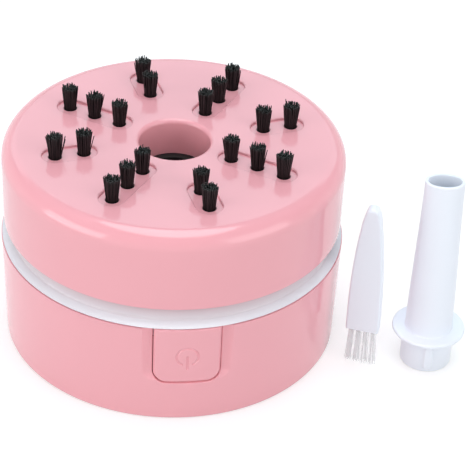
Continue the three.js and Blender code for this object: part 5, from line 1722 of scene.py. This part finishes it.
class VACUUM_OT_fan(bpy.types.Operator):
    """Builds the fan wheel, its cover, the filter and the tuft retainer"""
    bl_idname = "vacuum.fan"
    bl_label = "Fan and Filter"

    def execute(self, context):
        finished("impeller_wheel", impeller_skin(), "fan", "inner_plastic", "impeller")
        finished("fan_cover_plate", cover_skin(), "housing", "inner_plastic", "fan_cover")
        finished("filter_ring", filter_skin(), "filter", "inner_plastic", "filter_frame")
        finished("filter_foam", pad_skin(), "filter", "foam", "filter_pad", crease=180)
        finished("tuft_retainer_ring", retainer_skin(), "head", "inner_plastic", "tuft_retainer")
        return {"FINISHED"}


# Inner parts


class VACUUM_OT_inner_parts(bpy.types.Operator):
    """Gives the frame's own pieces their finishes"""
    bl_idname = "vacuum.inner_parts"
    bl_label = "Inner Parts"

    def execute(self, context):
        slots = {part["node"]: part["material_slot"] for part in frame["record"]["subparts"]}
        for name, made in frame["nodes"].items():
            material = finish_of(slots[name])
            if made.material_slots:
                made.material_slots[0].material = material
            else:
                made.data.materials.append(material)
        return {"FINISHED"}


# Stage

# The floor's grey and drop, and its glow: what camera, glossy and transmission rays add, and what all see
FLOOR_GREY, FLOOR_DROP, FLOOR_ROUGHNESS = 0.62, 0.05 * MM, 0.9
FLOOR_GLOW, FLOOR_BASE_GLOW = 0.42, 0.05
# The surround: its strength at the horizon and overhead where it only lights, and its fade where it is seen
FILL_HORIZON, FILL_ZENITH = 0.45, 0.3
FADE_START, FADE_END, FADE_LOW, FADE_HIGH = 0.15, 0.45, 1, 0.3
WHITE = (1, 1, 1, 1)


def direction(azimuth, elevation):
    """Unit vector from the middle outwards: the azimuth counts from -Y, the elevation from the horizon."""
    flat = np.cos(elevation)
    return np.array([np.sin(azimuth) * flat, -np.cos(azimuth) * flat, np.sin(elevation)])


def ray_mask(tree):
    """1 for camera, glossy and transmission rays and 0 for the rest."""
    rays = node(tree, "ShaderNodeLightPath", (-800, -200))
    mask = rays.outputs["Is Camera Ray"]
    for kind, across in (("Glossy", -600), ("Transmission", -400)):
        pair = [(mask, 0), (rays.outputs[f"Is {kind} Ray"], 1)]
        mask = node(tree, "ShaderNodeMath", (across, -200), pair, operation="MAXIMUM").outputs[0]
    return mask


def make_floor(size):
    """A flat white floor that keeps a soft shadow."""
    mesh = bpy.data.meshes.new("floor")
    half = size / 2
    mesh.from_pydata(raised(box_loop(-half, half, -half, half), 0).tolist(), [], [(0, 1, 2, 3)])
    made = linked("floor", mesh)
    made.location.z = -FLOOR_DROP
    material, tree, shader = material_of("floor", roughness=FLOOR_ROUGHNESS)
    shader.inputs["Base Color"].default_value = (FLOOR_GREY, FLOOR_GREY, FLOOR_GREY, 1)
    shader.inputs["Specular IOR Level"].default_value = 0
    shader.inputs["Emission Color"].default_value = WHITE
    glow = node(tree, "ShaderNodeMath", (-200, -200),
                [(ray_mask(tree), 0), (FLOOR_GLOW, 1), (FLOOR_BASE_GLOW, 2)], operation="MULTIPLY_ADD")
    tree.links.new(glow.outputs[0], shader.inputs["Emission Strength"])
    mesh.materials.append(material)


def make_world():
    """A white surround that fades upwards, in one way where it is seen, in another where it only lights."""
    world = bpy.data.worlds.new("studio")
    bpy.context.scene.world = world
    world.use_nodes = True
    tree = world.node_tree
    background = tree.nodes["Background"]
    background.inputs["Color"].default_value = WHITE
    around = node(tree, "ShaderNodeTexCoord", (-1000, 200)).outputs["Generated"]
    rise = node(tree, "ShaderNodeSeparateXYZ", (-800, 200), [(around, "Vector")]).outputs["Z"]
    fill = node(tree, "ShaderNodeMapRange", (-600, 200),
                [(rise, "Value"), (FILL_HORIZON, "To Min"), (FILL_ZENITH, "To Max")])
    seen = node(tree, "ShaderNodeMapRange", (-600, 500), [
        (rise, "Value"), (FADE_START, "From Min"), (FADE_END, "From Max"),
        (FADE_LOW, "To Min"), (FADE_HIGH, "To Max"),
    ])
    strength = node(tree, "ShaderNodeMapRange", (-200, 0), [
        (ray_mask(tree), "Value"), (fill.outputs[0], "To Min"), (seen.outputs[0], "To Max"),
    ])
    tree.links.new(strength.outputs[0], background.inputs["Strength"])


# Studio panels: azimuth from -Y and elevation in degrees, distance, width and height in metres, radiance,
# tint, and the rays that meet them. Those that stand above OVAL_FROM degrees are oval, the others rectangles
OVAL_FROM = 45
PANELS = [
    ("overhead_softbox", 180, 86, 1.5, 1.0, 1.5, 2.7, (0.93, 1, 1.08), "diffuse"),
    ("overhead_glare", 180, 86, 1.4, 0.94, 1.4, 3.9, (1, 1, 1), "glossy"),
    ("rear_panel", 174, 33.5, 1.65, 2.2, 0.6, 1.35, (0.7, 1.0, 1.05), "all"),
    ("left_panel", -69, 13, 1.5, 1.15, 0.85, 3.1, (1, 1, 1), "all"),
    ("right_panel", 49, 20, 1.5, 1.1, 0.95, 2.1, (1, 1, 1), "all"),
    ("front_softbox", -12, 45, 2.0, 1.2, 1.0, 1.7, (1, 1, 1), "diffuse"),
]


def make_panel(middle, name, azimuth, elevation, distance, wide, high, radiance, tint, rays):
    """An area light on a sphere round the middle, facing it, of radiance times pi times its area in power."""
    outward = direction(np.radians(azimuth), np.radians(elevation))
    oval = elevation > OVAL_FROM
    data = bpy.data.lights.new(name, "AREA")
    data.shape = "ELLIPSE" if oval else "RECTANGLE"
    data.size, data.size_y = wide, high
    data.energy = radiance * np.pi * wide * high * (np.pi / 4 if oval else 1)
    data.color = tint
    made = linked(name, data)
    made.location = middle + distance * outward
    made.rotation_euler = Vector(-outward).to_track_quat("-Z", "Y").to_euler()
    made.visible_diffuse, made.visible_glossy = rays != "glossy", rays != "diffuse"


def make_camera(stage):
    """The camera on a sphere round its aim, rolled about its line of sight."""
    back = direction(stage.azimuth, stage.elevation)
    level = np.array([np.cos(stage.azimuth), np.sin(stage.azimuth), 0])
    upward = np.cross(back, level)
    right = np.cos(stage.roll) * level + np.sin(stage.roll) * upward
    up = np.cross(back, right)
    turn = Matrix(np.column_stack([right, up, back]).tolist()).to_4x4()
    data = bpy.data.cameras.new("camera")
    data.lens = stage.focal_pixels / stage.picture_pixels * data.sensor_width
    made = linked("camera", data)
    made.matrix_world = Matrix.Translation(np.array(stage.aim) + stage.distance * back) @ turn
    bpy.context.scene.camera = made


class VACUUM_OT_stage(bpy.types.Operator):
    """Builds the floor, the lights and the camera"""
    bl_idname = "vacuum.stage"
    bl_label = "Studio Stage"

    def execute(self, context):
        stage = chosen("stage")
        context.scene.view_settings.view_transform = "Standard"
        make_floor(stage.floor_size)
        make_world()
        for panel in PANELS:
            make_panel(np.array([0, 0, FACE_HEIGHT]), *panel)
        make_camera(stage)
        return {"FINISHED"}


class VACUUM_PT_sidebar(bpy.types.Panel):
    """Lists the vacuum cleaner's pieces in the 3D view's sidebar"""
    bl_idname = "VACUUM_PT_sidebar"
    bl_label = "Desktop Vacuum"
    bl_space_type = "VIEW_3D"
    bl_region_type = "UI"
    bl_category = "Vacuum"

    def draw(self, context):
        for operator in OPERATORS:
            self.layout.operator(operator.bl_idname)
        for name, group in SETTINGS.items():
            box = self.layout.box()
            box.label(text=group.__doc__)
            for key in group.__annotations__:
                box.prop(chosen(name), key)


SETTINGS = {
    "housing": HousingSizes, "inner": InnerSizes, "fan": FanSizes, "button": ButtonSizes, "band": BandSizes,
    "head": HeadSizes, "tufts": TuftSizes, "nozzle": NozzleSizes, "brush": BrushSizes, "finish": Finishes,
    "stage": StageSizes,
}
OPERATORS = [
    VACUUM_OT_stage, VACUUM_OT_housing, VACUUM_OT_button, VACUUM_OT_band, VACUUM_OT_head, VACUUM_OT_tufts,
    VACUUM_OT_nozzle, VACUUM_OT_brush, VACUUM_OT_fan, VACUUM_OT_inner_parts,
]


def register():
    """Adds the settings, the operators and the panel to Blender."""
    for name, group in SETTINGS.items():
        bpy.utils.register_class(group)
        setattr(bpy.types.Scene, f"vacuum_{name}", PointerProperty(type=group))
    for kind in (*OPERATORS, VACUUM_PT_sidebar):
        bpy.utils.register_class(kind)


def unregister():
    """Takes them out again."""
    for kind in (VACUUM_PT_sidebar, *reversed(OPERATORS)):
        bpy.utils.unregister_class(kind)
    for name, group in reversed(SETTINGS.items()):
        delattr(bpy.types.Scene, f"vacuum_{name}")
        bpy.utils.unregister_class(group)


def main():
    """Registers the add-on and runs its operators."""
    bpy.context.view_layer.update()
    register()
    for operator in OPERATORS:
        category, name = operator.bl_idname.split(".")
        getattr(getattr(bpy.ops, category), name)()


if __name__ == "__main__":
    main()
